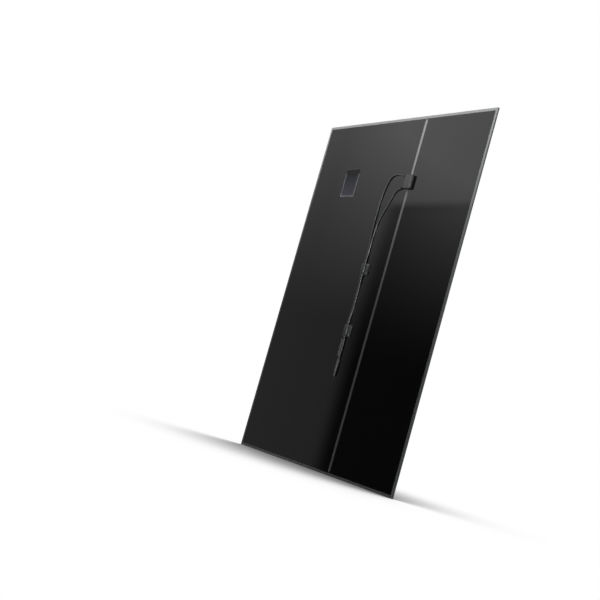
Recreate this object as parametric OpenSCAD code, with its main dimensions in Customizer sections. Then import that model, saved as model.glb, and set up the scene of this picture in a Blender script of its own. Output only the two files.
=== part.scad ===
// Frameless glass-glass solar panel with a junction box, two leads, cable clips and a label on its back.
// Frame: X across the width, Y through the thickness, Z up the length. The cells face -Y and the back +Y.
// The origin is the centre of the laminate.

/* [Panel] */
// Width of the glass
panel_w = 1200; // [900:1:1400]
// Length of the glass
panel_l = 1600; // [1500:1:1900]
// Thickness of the front glass
front_glass_t = 3.2; // [2:0.1:5]
// Thickness of the back glass
back_glass_t = 3.2; // [2:0.1:5]
// Gap between the two sheets, filled by the interlayer
interlayer_t = 0.6; // [0.5:0.05:1.2]
// Ground bevel along the outer edges of the glass
arris = 0.8; // [0.3:0.1:1.5]
// Cut across each corner of the glass
corner_cut = 2.5; // [1:0.5:6]

/* [Cells and foils] */
// Thickness of the cell film, drawn thicker than the real coat
film_t = 0.1; // [0.05:0.01:0.15]
// Width of the edge seal
seal_w = 11; // [8:0.5:16]
// Set-back of the edge seal from the glass edge
seal_inset = 1; // [0.5:0.5:3]
// Bare glass between the edge seal and the cell film
film_setback = 1; // [0.5:0.5:4]
// Width of a bus bar
bus_w = 6; // [3:0.5:10]
// Thickness of a bus bar, and of the tape that lies level with it
bus_t = 0.15; // [0.1:0.01:0.18]
// Distance from the end of the cell film to a bus bar
bus_inset = 3; // [1:0.5:8]
// Distance from the side of the cell film to the end of a bus bar
bus_end_gap = 10; // [4:1:30]
// Place of the lengthwise foils and the junction box across the width
stripe_x = -153; // [-200:1:-110]
// Width of the insulating tape
tape_w = 14; // [11:0.5:24]
// Width of a lead foil
foil_w = 8; // [5:0.5:10]
// Thickness of a lead foil
foil_t = 0.15; // [0.1:0.01:0.18]
// Distance between the two foil tabs that rise to the terminals
tab_gap = 10; // [8:0.5:12]
// Height of the foil tabs above the floor of the junction box
tab_h = 4; // [3:0.5:5]

/* [Junction box] */
// Radius of the hole in the back glass
hole_r = 10; // [8:0.5:14]
// Distance of the box's centre from the top edge of the panel
jbox_drop = 303; // [280:1:330]
// Width of the box
jbox_w = 46; // [44:1:58]
// Length of the box
jbox_l = 62; // [60:1:80]
// Height of the box's walls above its pad
jbox_h = 10; // [9.5:0.5:16]
// Thickness of the box's walls
jbox_wall = 2.2; // [1.6:0.1:3]
// Thickness of the box's floor
jbox_floor = 2; // [1.5:0.1:2.2]
// Corner radius of the box
jbox_r = 5; // [4:0.5:8]
// Thickness of the bonding pad
jbox_pad_t = 1; // [0.5:0.1:2]
// Set-back of the bonding pad from the box's outline
jbox_pad_inset = 2; // [1:0.5:4]
// Thickness of the lid gasket
gasket_t = 0.8; // [0.5:0.1:1.5]
// Thickness of the lid
lid_t = 2.2; // [1.6:0.1:4]
// Height of the raised middle of the lid
lid_crown_h = 0.8; // [0.4:0.1:1.5]
// Set-back of the raised middle from the lid's outline
lid_crown_inset = 7; // [4:0.5:12]
// Depth of the lid's rim inside the walls
lid_rim_h = 3; // [2:0.5:3.5]
// Thickness of the lid's rim
lid_rim_t = 1.8; // [1.2:0.1:2.5]
// Depth of the potting over the floor
potting_h = 1.6; // [1.3:0.1:1.7]
// Set-back of the potting from the walls
potting_gap = 2.5; // [1:0.5:5]
// Thickness of the terminals' sheet
terminal_t = 1.2; // [0.8:0.1:1.25]
// Width of a terminal's clamp block
clamp_w = 7; // [5:0.5:8]
// Length of a terminal's clamp block
clamp_l = 8; // [6:0.5:10]
// Height of a terminal's clamp block
clamp_h = 6; // [4.5:0.5:6.5]
// Distance of the clamp blocks inside the wall
clamp_depth = 20; // [18:0.5:24]
// Place of the diode across the box, from its centre
diode_x = -14; // [-15:0.5:-11]
// Length of the diode's body
diode_l = 9; // [6:0.5:12]
// Radius of the diode's body
diode_r = 2.6; // [1.5:0.1:2.8]
// Radius of the diode's wires
diode_wire_r = 0.6; // [0.4:0.05:0.8]
// Distance between the diode's two tabs
diode_span = 26; // [22:1:32]
// Width of the diode's tabs
diode_tab_w = 6; // [4:0.5:7]

/* [Leads] */
// Diameter of a lead
lead_d = 5.5; // [5:0.1:6]
// Radius of a lead's conductor
core_r = 1.2; // [0.8:0.05:1.4]
// Distance of each outlet from the middle of the box's side
outlet_z = 22; // [20:0.5:23]
// Height of the outlets above the box's floor
outlet_h = 3; // [2.9:0.05:3.4]
// Angle between the outlets and the box's side normal
outlet_splay = 15; // [10:1:20]
// Radius of the outlet bosses
boss_r = 4.5; // [4:0.1:4.6]
// Length of the outlet bosses
boss_l = 6; // [4:0.5:10]
// Radius of the boots inside the bosses
spigot_r = 3; // [2.5:0.1:3.4]
// Length of the boots past the bosses
boot_l = 16; // [12:1:24]
// Radius of the boots at their tips
boot_tip_r = 3.3; // [3:0.1:3.8]

/* [Connectors] */
// Place of the plug's axis across the width
plug_x = 4; // [3.5:0.1:6]
// Distance of the plug's back end below the box's centre
plug_drop = 720; // [714:1:727]
// Place of the socket's axis across the width
socket_x = -5.5; // [-8:0.1:-4]
// Distance of the socket's back end below the box's centre
socket_drop = 810; // [802:1:827]
// Length of a connector from its nut to its front
connector_l = 75; // [70:0.5:78]
// Radius of a connector's housing
housing_r = 5.5; // [5.2:0.1:5.8]
// Radius of a connector's nut
nut_r = 5.9; // [5.6:0.1:6.2]
// Length of a connector's nut
nut_l = 18; // [15:0.5:22]
// Thickness of the nut's back wall
nut_back_t = 4; // [2:0.5:5]
// Radius of the nut's inside
nut_bore_r = 4.5; // [4.2:0.1:4.8]
// Number of grip grooves round the nut
nut_grooves = 12; // [6:1:16]
// Radius of a grip groove
groove_r = 0.7; // [0.4:0.05:0.9]
// Length of the rubber grommet
grommet_l = 3.7; // [2:0.1:5]
// Depth of the plug's open front, and length of the socket's nose
mating_l = 23; // [20:0.5:26]
// Radius of the plug's open front
mating_r = 4.2; // [4:0.05:4.4]
// Radius of the crimped back of a contact
crimp_r = 2; // [1.7:0.1:2.2]
// Radius of the plug's contact pin
pin_r = 1.5; // [1:0.05:1.6]
// Set-back of the contact pin's tip from the plug's front
pin_setback = 4.5; // [2:0.5:8]
// Length of the rounded-off tip of the contact pin
pin_tip_l = 1.5; // [1:0.1:3]
// Depth of the socket contact's bore
socket_bore_l = 20; // [16:0.5:20]
// Set-back of the socket contact from the nose's front
socket_setback = 1; // [0.5:0.1:3]
// Thickness of the sealing ring's cord on the nose
ring_d = 1.3; // [0.8:0.1:1.6]
// Distance of the sealing ring from the nose's root
ring_place = 5; // [3:0.5:10]

/* [Cable clips] */
// Place of the leads' middle line in the clips across the width
clip_x = 0; // [-2:0.5:2]
// Distance of the upper clip below the box's centre
upper_clip_drop = 400; // [392:1:407]
// Distance of the lower clip below the box's centre
lower_clip_drop = 679; // [672:1:682]
// Distance between the two leads in a clip
lead_pitch = 7; // [6.8:0.1:7.4]
// Length of a clip along the leads
clip_l = 54; // [50:1:60]
// Width of a clip from its middle line to its latch side
clip_latch_w = 35; // [32:1:42]
// Width of a clip from its middle line to its hinge side
clip_hinge_w = 14; // [13:0.5:18]
// Corner radius of a clip
clip_r = 4; // [2:0.5:6]
// Thickness of a clip's bonding pad
clip_pad_t = 1; // [0.5:0.1:2]
// Set-back of the bonding pad from the clip's outline
clip_pad_inset = 1.5; // [0.5:0.5:4]
// Thickness of a clip's base
clip_base_t = 2.2; // [1.6:0.1:3]
// Thickness of a clip's gate
gate_t = 2.2; // [1.6:0.1:3]
// Set-back of the gate's ends from the clip's ends
gate_inset = 3; // [2:0.5:6]
// Radius of the hinge barrels
barrel_r = 2.9; // [2.6:0.1:3]
// Radius of the hinge pin
hinge_pin_r = 1.5; // [1:0.1:1.6]
// Length of the gate's hinge barrel
gate_barrel_l = 23; // [16:1:26]
// Length of each of the base's hinge barrels
base_barrel_l = 12; // [8:1:12]
// Height of the rib beside the leads
rib_h = 2.8; // [1.5:0.1:4]
// Thickness of the rib beside the leads
rib_t = 2; // [1:0.1:2.4]
// Radius of the gate's finger knobs
knob_r = 5.5; // [4:0.5:6]
// Height of the gate's finger knobs
knob_h = 4.5; // [3:0.5:6]
// Distance between a gate's two finger knobs
knob_pitch = 34; // [28:1:34]

/* [Label] */
// Width of the label
label_w = 105; // [60:1:140]
// Length of the label
label_l = 135; // [60:1:180]
// Thickness of the label
label_t = 0.2; // [0.1:0.05:0.5]
// Place of the label's centre across the width
label_x = 301; // [200:1:400]
// Distance of the label's centre from the top edge of the panel
label_drop = 293; // [150:1:400]

/* [Clearances] */
// Play of a sealing plug or spigot in its hole
seat_play = 0.1; // [0.05:0.01:0.2]
// Play of the conductor in the boots and clamps
core_play = 0.1; // [0.05:0.01:0.2]
// Play of the lid's rim inside the walls
lid_play = 0.3; // [0.2:0.05:0.6]
// Play of the nuts and of what turns beside something fixed
turn_play = 0.3; // [0.2:0.05:0.5]
// Play of the hinge pin in the gate's barrel, on the radius
hinge_play = 0.06; // [0.02:0.01:0.1]
// Gap between a lead or connector and what it lies on
lay_gap = 0.25; // [0.15:0.05:0.4]
// Play of a contact pin in a socket contact, on the radius
contact_play = 0.04; // [0.01:0.01:0.08]

/* [Hidden] */
$fn = 64;
lead_sides = 10;
cut = 1;

// Levels through the laminate
laminate_t = front_glass_t + interlayer_t + back_glass_t;
front_y = -laminate_t / 2;
back_y = laminate_t / 2;
film_y = front_y + front_glass_t;
ribbon_y = film_y + film_t;
foil_y = ribbon_y + bus_t;
foil_top_y = foil_y + foil_t;
cover_y = back_y - back_glass_t;

// Sizes of the layers between the sheets
fill_inset = seal_inset + seal_w;
film_inset = fill_inset + film_setback;
film_w = panel_w - 2 * film_inset;
film_l = panel_l - 2 * film_inset;
bus_z = film_l / 2 - bus_inset - bus_w / 2;
bus_l = film_w - 2 * bus_end_gap;
tab_z = tab_gap / 2;

// Heights of the pieces on the back, which keep their distances from the top edge
jbox_z = panel_l / 2 - jbox_drop;
label_z = panel_l / 2 - label_drop;
upper_clip_z = jbox_z - upper_clip_drop;
lower_clip_z = jbox_z - lower_clip_drop;
plug_z = jbox_z - plug_drop;
socket_z = jbox_z - socket_drop;

// Levels and sizes of the junction box
floor_y = back_y + jbox_pad_t + jbox_floor;
wall_top_y = back_y + jbox_pad_t + jbox_h;
lid_y = wall_top_y + gasket_t;
cavity_w = jbox_w - 2 * jbox_wall;
cavity_l = jbox_l - 2 * jbox_wall;
cavity_r = jbox_r - jbox_wall;
riser_z = tab_z + foil_t;
window_w = foil_w + 2;
outlet_y = floor_y + outlet_h;
outlet_reach = boss_l + boot_l;
clamp_z = outlet_z - clamp_depth * sin(outlet_splay);
clamp_x = jbox_w / 2 - clamp_depth * cos(outlet_splay);
diode_y = potting_h + diode_r + lay_gap;

// Levels of the leads, connectors and clips
lead_r = lead_d / 2;
lay_y = back_y + lead_r + lay_gap;
clip_base_y = back_y + clip_pad_t;
clip_top_y = clip_base_y + clip_base_t;
clip_lead_y = clip_top_y + lead_r + lay_gap;
connector_y = back_y + nut_r + lay_gap;
grommet_s = nut_back_t + turn_play;
housing_s = grommet_s + grommet_l;
mating_s = connector_l - mating_l;
nose_r = mating_r - 2 * seat_play;
hinge_x = clip_x + lead_pitch / 2 + lead_r + lay_gap + barrel_r + turn_play;
hinge_y = clip_top_y + barrel_r + lay_gap;
gate_y = max(clip_lead_y + lead_r, hinge_y + barrel_r) + turn_play;
gate_side_x = clip_x - lead_pitch / 2 - lead_r - lay_gap - rib_t - 2 * turn_play;
gate_l = clip_l - 2 * gate_inset;

// Points of the leads: out of the boots, over the glass, through both clips and into the connectors.
// Each free point is its place across, its lift off the glass and its height from the box's centre.
lead_straight = 10;
clip_half = clip_l / 2;
positive_x = clip_x + lead_pitch / 2;
negative_x = clip_x - lead_pitch / 2;
function outlet_dir(side) = [cos(outlet_splay), 0, side * sin(outlet_splay)];
function outlet_end(side) = [stripe_x + jbox_w / 2, outlet_y, jbox_z + side * outlet_z]
    + outlet_reach * outlet_dir(side);
function leaving(side) = [outlet_end(side), outlet_end(side) + lead_straight * outlet_dir(side)];
function laid(points) = [for (q = points) [q[0], lay_y + q[1], jbox_z + q[2]]];
function clip_pass(x, z) = [for (end = [1, 0, -1]) [x, clip_lead_y, z + end * clip_half]];
function arriving(x, z) = [for (s = [-cut, grommet_s]) [x, connector_y, z - s]];
positive_route = concat(
    leaving(1),
    laid([
        [-84, 2.4, 33.5], [-66, 1.3, 36], [-46, 0.3, 35.5], [-29, 0, 31], [-16, 0, 22], [-6, 0, 9],
        [1, 0, -7], [7, 0, -25], [11.5, 0, -44], [15, 0, -65], [17, 0, -88], [18, 0, -113],
        [18, 0, -140], [17.5, 0, -168], [16.5, 0, -196], [15, 0, -223], [12.5, 0, -250],
        [9.5, 0, -276], [6.5, 0, -301], [4.5, 0.7, -326], [positive_x, 2.4, -351]
    ]),
    clip_pass(positive_x, upper_clip_z),
    laid([
        [3.5, 2.4, -448], [3.5, 0.9, -472], [3.5, 0, -496], [3, 0, -524],
        [2.5, 0, -552], [2.5, 0, -580], [3, 0.7, -606], [3.5, 2.4, -630]
    ]),
    clip_pass(positive_x, lower_clip_z),
    arriving(plug_x, plug_z)
);
negative_route = concat(
    leaving(-1),
    laid([
        [-86, 2.5, -34.5], [-75.5, 1.5, -42.5], [-67.5, 0.5, -53.5], [-61, 0, -67], [-54, 0, -82],
        [-46, 0, -99], [-37, 0, -117], [-28, 0, -135], [-20, 0, -152], [-13, 0, -170], [-8, 0, -189],
        [-4.5, 0, -210], [-2.5, 0, -233], [-2, 0, -258], [-2, 0, -283], [-2.5, 0, -308],
        [-3, 0.7, -330], [negative_x, 2.4, -351]
    ]),
    clip_pass(negative_x, upper_clip_z),
    laid([
        [-3.5, 2.4, -448], [-3.5, 0.9, -472], [-3.5, 0, -496], [-4, 0, -524],
        [-4.5, 0, -552], [-4.5, 0, -580], [-4, 0.7, -606], [-3.5, 2.4, -630]
    ]),
    clip_pass(negative_x, lower_clip_z),
    laid([[-5.6, 3, -717], [-6.6, 2.6, -730], [-7, 2.2, -754], [-6.6, 2.4, -778], [-5.8, 2.9, -796]]),
    arriving(socket_x, socket_z)
);

// A tube swept along points: each ring stands square to the route, with its sides counted from the Y axis
function unit(v) = v / norm(v);
function along(p, i) = unit(p[min(i + 1, len(p) - 1)] - p[max(i - 1, 0)]);
function ring(p, i, r) = let (t = along(p, i), u = unit(cross([0, 1, 0], t)), v = cross(t, u))
    [for (k = [0 : lead_sides - 1]) p[i] + r * (cos(360 * k / lead_sides) * u + sin(360 * k / lead_sides) * v)];
module swept_tube(p, r) {
    rings = len(p);
    n = lead_sides;
    walls = [
        for (i = [0 : rings - 2], k = [0 : n - 1], half = [0, 1])
            half == 0
                ? [i * n + k, (i + 1) * n + k, (i + 1) * n + (k + 1) % n]
                : [i * n + k, (i + 1) * n + (k + 1) % n, i * n + (k + 1) % n]
    ];
    polyhedron(
        points = [for (i = [0 : rings - 1]) each ring(p, i, r)],
        faces = concat(
            [[for (k = [0 : n - 1]) k]],
            walls,
            [[for (k = [0 : n - 1]) (rings - 1) * n + n - 1 - k]]
        )
    );
}

// Shared shapes
module slab(x, y, z) {
    translate([x[0], y[0], z[0]]) cube([x[1] - x[0], y[1] - y[0], z[1] - z[0]]);
}

// Extrudes a flat outline, drawn in X and Z, from one level in Y to another
module upright(y0, y1) {
    translate([0, y1, 0]) rotate([90, 0, 0]) linear_extrude(y1 - y0) children();
}

module rounded(w, l, r) {
    square([w - 2 * r, l], center = true);
    square([w, l - 2 * r], center = true);
    for (x = [-1, 1], z = [-1, 1])
        translate([x * (w / 2 - r), z * (l / 2 - r)]) circle(r);
}

module cut_rectangle(w, l, c) {
    polygon([
        for (q = [[1, 1], [-1, 1], [-1, -1], [1, -1]], first = [1, 0])
            let (on_side = (q[0] * q[1] > 0) == (first == 1))
                [q[0] * (w / 2 - (on_side ? 0 : c)), q[1] * (l / 2 - (on_side ? c : 0))]
    ]);
}

// A bevelled edge profile: width of the sheet, level of its inner face and level of its outer face
function sheet_profile(w, inner, outer) = let (shoulder = outer - sign(outer - inner) * arris)
    [
        [-w / 2, inner], [-w / 2, shoulder], [-w / 2 + arris, outer],
        [w / 2 - arris, outer], [w / 2, shoulder], [w / 2, inner]
    ];

module glass_sheet(inner, outer) {
    intersection() {
        upright(min(inner, outer), max(inner, outer)) cut_rectangle(panel_w, panel_l, corner_cut);
        linear_extrude(panel_l + 2 * cut, center = true)
            polygon(sheet_profile(panel_w, inner, outer));
        rotate([90, 0, 90]) linear_extrude(panel_w + 2 * cut, center = true)
            polygon([for (q = sheet_profile(panel_l, inner, outer)) [q[1], q[0]]]);
    }
}

module at_hole() {
    translate([stripe_x, 0, jbox_z]) children();
}

module hole(r, y0, y1) {
    translate([stripe_x, y1, jbox_z]) rotate([90, 0, 0]) cylinder(r = r, h = y1 - y0);
}

// The laminate
module front_glass() {
    color("#1b1d1f") glass_sheet(film_y, front_y);
}

module back_glass() {
    color("#2a2c2e") difference() {
        glass_sheet(cover_y, back_y);
        hole(hole_r, cover_y - cut, back_y + cut);
    }
}

module cell_film() {
    color("#0c0d0e") upright(film_y, ribbon_y) square([film_w, film_l], center = true);
}

module edge_seal() {
    color("#a5a6a7") upright(film_y, cover_y) difference() {
        square([panel_w - 2 * seal_inset, panel_l - 2 * seal_inset], center = true);
        square([panel_w - 2 * fill_inset, panel_l - 2 * fill_inset], center = true);
    }
}

module encapsulant() {
    color("#303234") difference() {
        upright(film_y, cover_y) square([panel_w - 2 * fill_inset, panel_l - 2 * fill_inset], center = true);
        cell_film();
        bus_bar(1);
        bus_bar(-1);
        insulating_tape();
        lead_foil(1);
        lead_foil(-1);
        hole(hole_r, foil_top_y, cover_y + cut);
    }
}

module bus_bar(end) {
    slab([-bus_l / 2, bus_l / 2], [ribbon_y, foil_y], [end * bus_z - bus_w / 2, end * bus_z + bus_w / 2]);
}

module positive_bus_bar() {
    color("#b9bbbd") bus_bar(1);
}

module negative_bus_bar() {
    color("#b9bbbd") bus_bar(-1);
}

module insulating_tape() {
    reach = bus_z - bus_w / 2;
    color("#b4b5b6") slab(
        [stripe_x - tape_w / 2, stripe_x + tape_w / 2], [ribbon_y, foil_y], [-reach, reach]);
}

// The tab that carries a foil up through the hole
module foil_tab(side) {
    at_hole() mirror([0, 0, side > 0 ? 0 : 1])
        slab([-foil_w / 2, foil_w / 2], [foil_y, floor_y + tab_h], [tab_z, riser_z]);
}

module lead_foil(side) {
    start = jbox_z + side * tab_z;
    end = side * (bus_z + bus_w / 2);
    slab([stripe_x - foil_w / 2, stripe_x + foil_w / 2], [foil_y, foil_top_y], [min(start, end), max(start, end)]);
    foil_tab(side);
}

module positive_foil() {
    color("#c4c6c8") lead_foil(1);
}

module negative_foil() {
    color("#c4c6c8") lead_foil(-1);
}

module hole_seal() {
    color("#141516") difference() {
        hole(hole_r - seat_play, foil_top_y, back_y);
        foil_tab(1);
        foil_tab(-1);
    }
}

// The junction box
module box_outline(inset) {
    rounded(jbox_w - 2 * inset, jbox_l - 2 * inset, jbox_r - min(inset, jbox_r - cavity_r));
}

module jbox_pad() {
    color("#202122") at_hole() upright(back_y, back_y + jbox_pad_t) difference() {
        box_outline(jbox_pad_inset);
        circle(hole_r);
    }
}

// Places its children at an outlet, with their Z axis pointing out of the box
module outlet(side) {
    translate([stripe_x + jbox_w / 2, outlet_y, jbox_z + side * outlet_z])
        rotate([0, 90 - side * outlet_splay, 0]) children();
}

module jbox_base() {
    color("#1c1d1e") difference() {
        union() {
            at_hole() upright(back_y + jbox_pad_t, wall_top_y) box_outline(0);
            for (side = [-1, 1])
                outlet(side) translate([0, 0, -jbox_wall]) cylinder(r = boss_r, h = boss_l + jbox_wall);
        }
        at_hole() upright(floor_y, wall_top_y + cut) box_outline(jbox_wall);
        at_hole() slab(
            [-window_w / 2, window_w / 2], [back_y, floor_y + cut], [-riser_z, riser_z]);
        for (side = [-1, 1])
            outlet(side) translate([0, 0, -2 * boss_r])
                cylinder(r = spigot_r + seat_play, h = boss_l + 3 * boss_r);
    }
}

module terminal(side) {
    foot_x = clamp_x + clamp_l / 2;
    tab_x = [diode_x - diode_tab_w / 2, diode_x + diode_tab_w / 2];
    difference() {
        translate([stripe_x, floor_y, jbox_z]) mirror([0, 0, side > 0 ? 0 : 1]) {
            slab([-foil_w / 2, foil_w / 2], [0, tab_h], [riser_z, riser_z + terminal_t]);
            slab([tab_x[0], foot_x], [0, terminal_t], [riser_z, clamp_z]);
            slab(tab_x, [0, terminal_t], [riser_z, diode_span / 2 + terminal_t]);
            slab(tab_x, [0, diode_y + diode_r], [diode_span / 2, diode_span / 2 + terminal_t]);
            translate([clamp_x, 0, clamp_z]) rotate([0, -outlet_splay, 0])
                slab([-clamp_l / 2, clamp_l / 2], [0, clamp_h], [-clamp_w / 2, clamp_w / 2]);
        }
        outlet(side) translate([0, 0, -clamp_depth - clamp_l])
            cylinder(r = core_r + core_play, h = clamp_depth + clamp_l);
    }
}

module positive_terminal() {
    color("#b98a57") terminal(1);
}

module negative_terminal() {
    color("#b98a57") terminal(-1);
}

module bypass_diode() {
    color("#26282a") translate([stripe_x + diode_x, floor_y + diode_y, jbox_z]) {
        cylinder(r = diode_r, h = diode_l, center = true);
        cylinder(r = diode_wire_r, h = diode_span, center = true);
    }
}

module jbox_potting() {
    color("#303132") difference() {
        at_hole() slab(
            [-cavity_w / 2 + potting_gap, cavity_w / 2 - potting_gap],
            [floor_y, floor_y + potting_h],
            [-cavity_l / 2 + potting_gap, cavity_l / 2 - potting_gap]);
        for (side = [-1, 1]) {
            terminal(side);
            foil_tab(side);
        }
    }
}

module jbox_gasket() {
    color("#0f1011") at_hole() upright(wall_top_y, lid_y) difference() {
        box_outline(lid_play);
        box_outline(jbox_wall - lid_play);
    }
}

module jbox_lid() {
    rim_in = jbox_wall + lid_play;
    color("#242526") at_hole() {
        upright(lid_y, lid_y + lid_t) box_outline(0);
        upright(lid_y + lid_t, lid_y + lid_t + lid_crown_h) box_outline(lid_crown_inset);
        upright(lid_y - lid_rim_h, lid_y) difference() {
            box_outline(rim_in);
            box_outline(rim_in + lid_rim_t);
        }
    }
}

// The leads and their strain reliefs
module boot(side) {
    outlet(side) difference() {
        union() {
            translate([0, 0, -jbox_wall]) cylinder(r = spigot_r, h = boss_l + jbox_wall);
            translate([0, 0, boss_l]) cylinder(r1 = boss_r, r2 = boot_tip_r, h = boot_l);
        }
        translate([0, 0, -2 * jbox_wall])
            cylinder(r = core_r + core_play, h = outlet_reach + 3 * jbox_wall);
    }
}

module positive_boot() {
    color("#161718") boot(1);
}

module negative_boot() {
    color("#161718") boot(-1);
}

module core(side) {
    back = clamp_depth + clamp_l / 2;
    outlet(side) translate([0, 0, -back]) cylinder(r = core_r, h = back + outlet_reach);
}

module positive_core() {
    color("#b87a4b") core(1);
}

module negative_core() {
    color("#b87a4b") core(-1);
}

module positive_lead() {
    color("#1a1b1c") swept_tube(positive_route, lead_r);
}

module negative_lead() {
    color("#1a1b1c") swept_tube(negative_route, lead_r);
}

// The connectors, drawn from their cable end towards their front
module on_plug() {
    translate([plug_x, connector_y, plug_z]) rotate([180, 0, 0]) children();
}

module on_socket() {
    translate([socket_x, connector_y, socket_z]) rotate([180, 0, 0]) children();
}

module stage(r, from, to) {
    translate([0, 0, from]) cylinder(r = r, h = to - from);
}

module gland_nut() {
    difference() {
        stage(nut_r, 0, nut_l);
        stage(lead_r + turn_play, -cut, nut_back_t + cut);
        stage(nut_bore_r, nut_back_t, nut_l + cut);
        for (k = [0 : nut_grooves - 1])
            rotate(360 * k / nut_grooves) translate([nut_r, 0, 0]) stage(groove_r, -cut, nut_l - nut_back_t);
    }
}

module grommet() {
    difference() {
        stage(nut_bore_r - turn_play, grommet_s, housing_s);
        stage(core_r + core_play, 0, connector_l);
    }
}

// The back half that both housings share: a spigot inside the nut, then the body
module housing_back() {
    stage(nut_bore_r - turn_play, housing_s, nut_l + turn_play);
    stage(housing_r, nut_l + turn_play, mating_s);
}

module contact_back() {
    stage(core_r, grommet_s, housing_s);
    stage(crimp_r, housing_s, mating_s);
}

module plug_nut() {
    color("#1e1f20") on_plug() gland_nut();
}

module plug_grommet() {
    color("#333436") on_plug() grommet();
}

module plug_housing() {
    color("#1e1f20") on_plug() difference() {
        union() {
            housing_back();
            stage(housing_r, mating_s, connector_l);
        }
        stage(crimp_r + seat_play, 0, mating_s + cut);
        stage(mating_r, mating_s, connector_l + cut);
    }
}

module plug_contact() {
    pin_s = connector_l - pin_setback - pin_tip_l;
    color("#c9b27a") on_plug() {
        contact_back();
        stage(pin_r, mating_s, pin_s);
        translate([0, 0, pin_s]) cylinder(r1 = pin_r, r2 = pin_r / 2, h = pin_tip_l);
    }
}

module socket_nut() {
    color("#1e1f20") on_socket() gland_nut();
}

module socket_grommet() {
    color("#333436") on_socket() grommet();
}

module socket_housing() {
    color("#1e1f20") on_socket() difference() {
        union() {
            housing_back();
            stage(nose_r, mating_s, connector_l);
        }
        stage(crimp_r + seat_play, 0, connector_l + cut);
        nose_ring(ring_d / 2);
    }
}

// The sealing ring, half sunk in a groove round the nose
module nose_ring(r) {
    translate([0, 0, mating_s + ring_place]) rotate_extrude() translate([nose_r - ring_d / 4, 0]) circle(r);
}

module socket_ring() {
    color("#4a2f24") on_socket() nose_ring(ring_d / 2 - seat_play / 2);
}

module socket_contact() {
    front = connector_l - socket_setback;
    color("#c9b27a") on_socket() difference() {
        union() {
            contact_back();
            stage(crimp_r, mating_s, front);
        }
        stage(pin_r + contact_play, front - socket_bore_l, front + cut);
    }
}

// The cable clips
module clip_outline(inset) {
    w = clip_latch_w + clip_hinge_w;
    translate([clip_x + (clip_hinge_w - clip_latch_w) / 2, 0])
        rounded(w - 2 * inset, clip_l - 2 * inset, max(clip_r - inset, clip_r / 2));
}

module clip_pad(z) {
    translate([0, 0, z]) upright(back_y, clip_base_y) clip_outline(clip_pad_inset);
}

module hinge_barrel(r, from, to) {
    translate([hinge_x, hinge_y, from]) cylinder(r = r, h = to - from);
}

module clip_base(z) {
    inner = gate_barrel_l / 2 + turn_play;
    rib_x = gate_side_x + turn_play;
    translate([0, 0, z]) difference() {
        union() {
            upright(clip_base_y, clip_top_y) clip_outline(0);
            slab([rib_x, rib_x + rib_t], [clip_top_y, clip_top_y + rib_h], [-gate_l / 2, gate_l / 2]);
            for (end = [-1, 1]) {
                near = end > 0 ? inner : -inner - base_barrel_l;
                hinge_barrel(barrel_r, near, near + base_barrel_l);
                slab([hinge_x - barrel_r, hinge_x + barrel_r], [clip_top_y - cut, hinge_y],
                    [near, near + base_barrel_l]);
            }
        }
        hinge_barrel(hinge_pin_r, -clip_l, clip_l);
    }
}

module clip_pin(z) {
    reach = gate_barrel_l / 2 + turn_play + base_barrel_l;
    translate([0, 0, z]) hinge_barrel(hinge_pin_r, -reach, reach);
}

module knob() {
    round_r = knob_r / 2;
    rotate([-90, 0, 0]) rotate_extrude() {
        square([knob_r, knob_h - round_r]);
        square([knob_r - round_r, knob_h]);
        intersection() {
            translate([knob_r - round_r, knob_h - round_r]) circle(round_r);
            square([knob_r, knob_h]);
        }
    }
}

module clip_gate(z) {
    flange_x = [clip_x - clip_latch_w + gate_inset, gate_side_x];
    flange_y = clip_top_y + turn_play;
    half = gate_barrel_l / 2;
    knob_x = flange_x[0] + knob_r + 2 * turn_play;
    translate([0, 0, z]) difference() {
        union() {
            hinge_barrel(barrel_r, -half, half);
            slab([hinge_x - barrel_r, hinge_x], [hinge_y, gate_y + gate_t], [-half, half]);
            slab([gate_side_x - gate_t, hinge_x], [gate_y, gate_y + gate_t], [-gate_l / 2, gate_l / 2]);
            slab([gate_side_x - gate_t, gate_side_x], [flange_y, gate_y + gate_t], [-gate_l / 2, gate_l / 2]);
            slab(flange_x, [flange_y, flange_y + gate_t], [-gate_l / 2, gate_l / 2]);
            for (end = [-1, 1])
                translate([knob_x, flange_y + gate_t - turn_play, end * knob_pitch / 2]) knob();
        }
        hinge_barrel(hinge_pin_r + hinge_play, -clip_l, clip_l);
    }
}

module upper_clip_pad() {
    color("#2e2f31") clip_pad(upper_clip_z);
}

module upper_clip_base() {
    color("#222325") clip_base(upper_clip_z);
}

module upper_clip_pin() {
    color("#9a9c9e") clip_pin(upper_clip_z);
}

module upper_clip_gate() {
    color("#2a2b2d") clip_gate(upper_clip_z);
}

module lower_clip_pad() {
    color("#2e2f31") clip_pad(lower_clip_z);
}

module lower_clip_base() {
    color("#222325") clip_base(lower_clip_z);
}

module lower_clip_pin() {
    color("#9a9c9e") clip_pin(lower_clip_z);
}

module lower_clip_gate() {
    color("#2a2b2d") clip_gate(lower_clip_z);
}

// The label
module rating_label() {
    color("#6f7581") slab(
        [label_x - label_w / 2, label_x + label_w / 2],
        [back_y, back_y + label_t],
        [label_z - label_l / 2, label_z + label_l / 2]);
}

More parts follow.
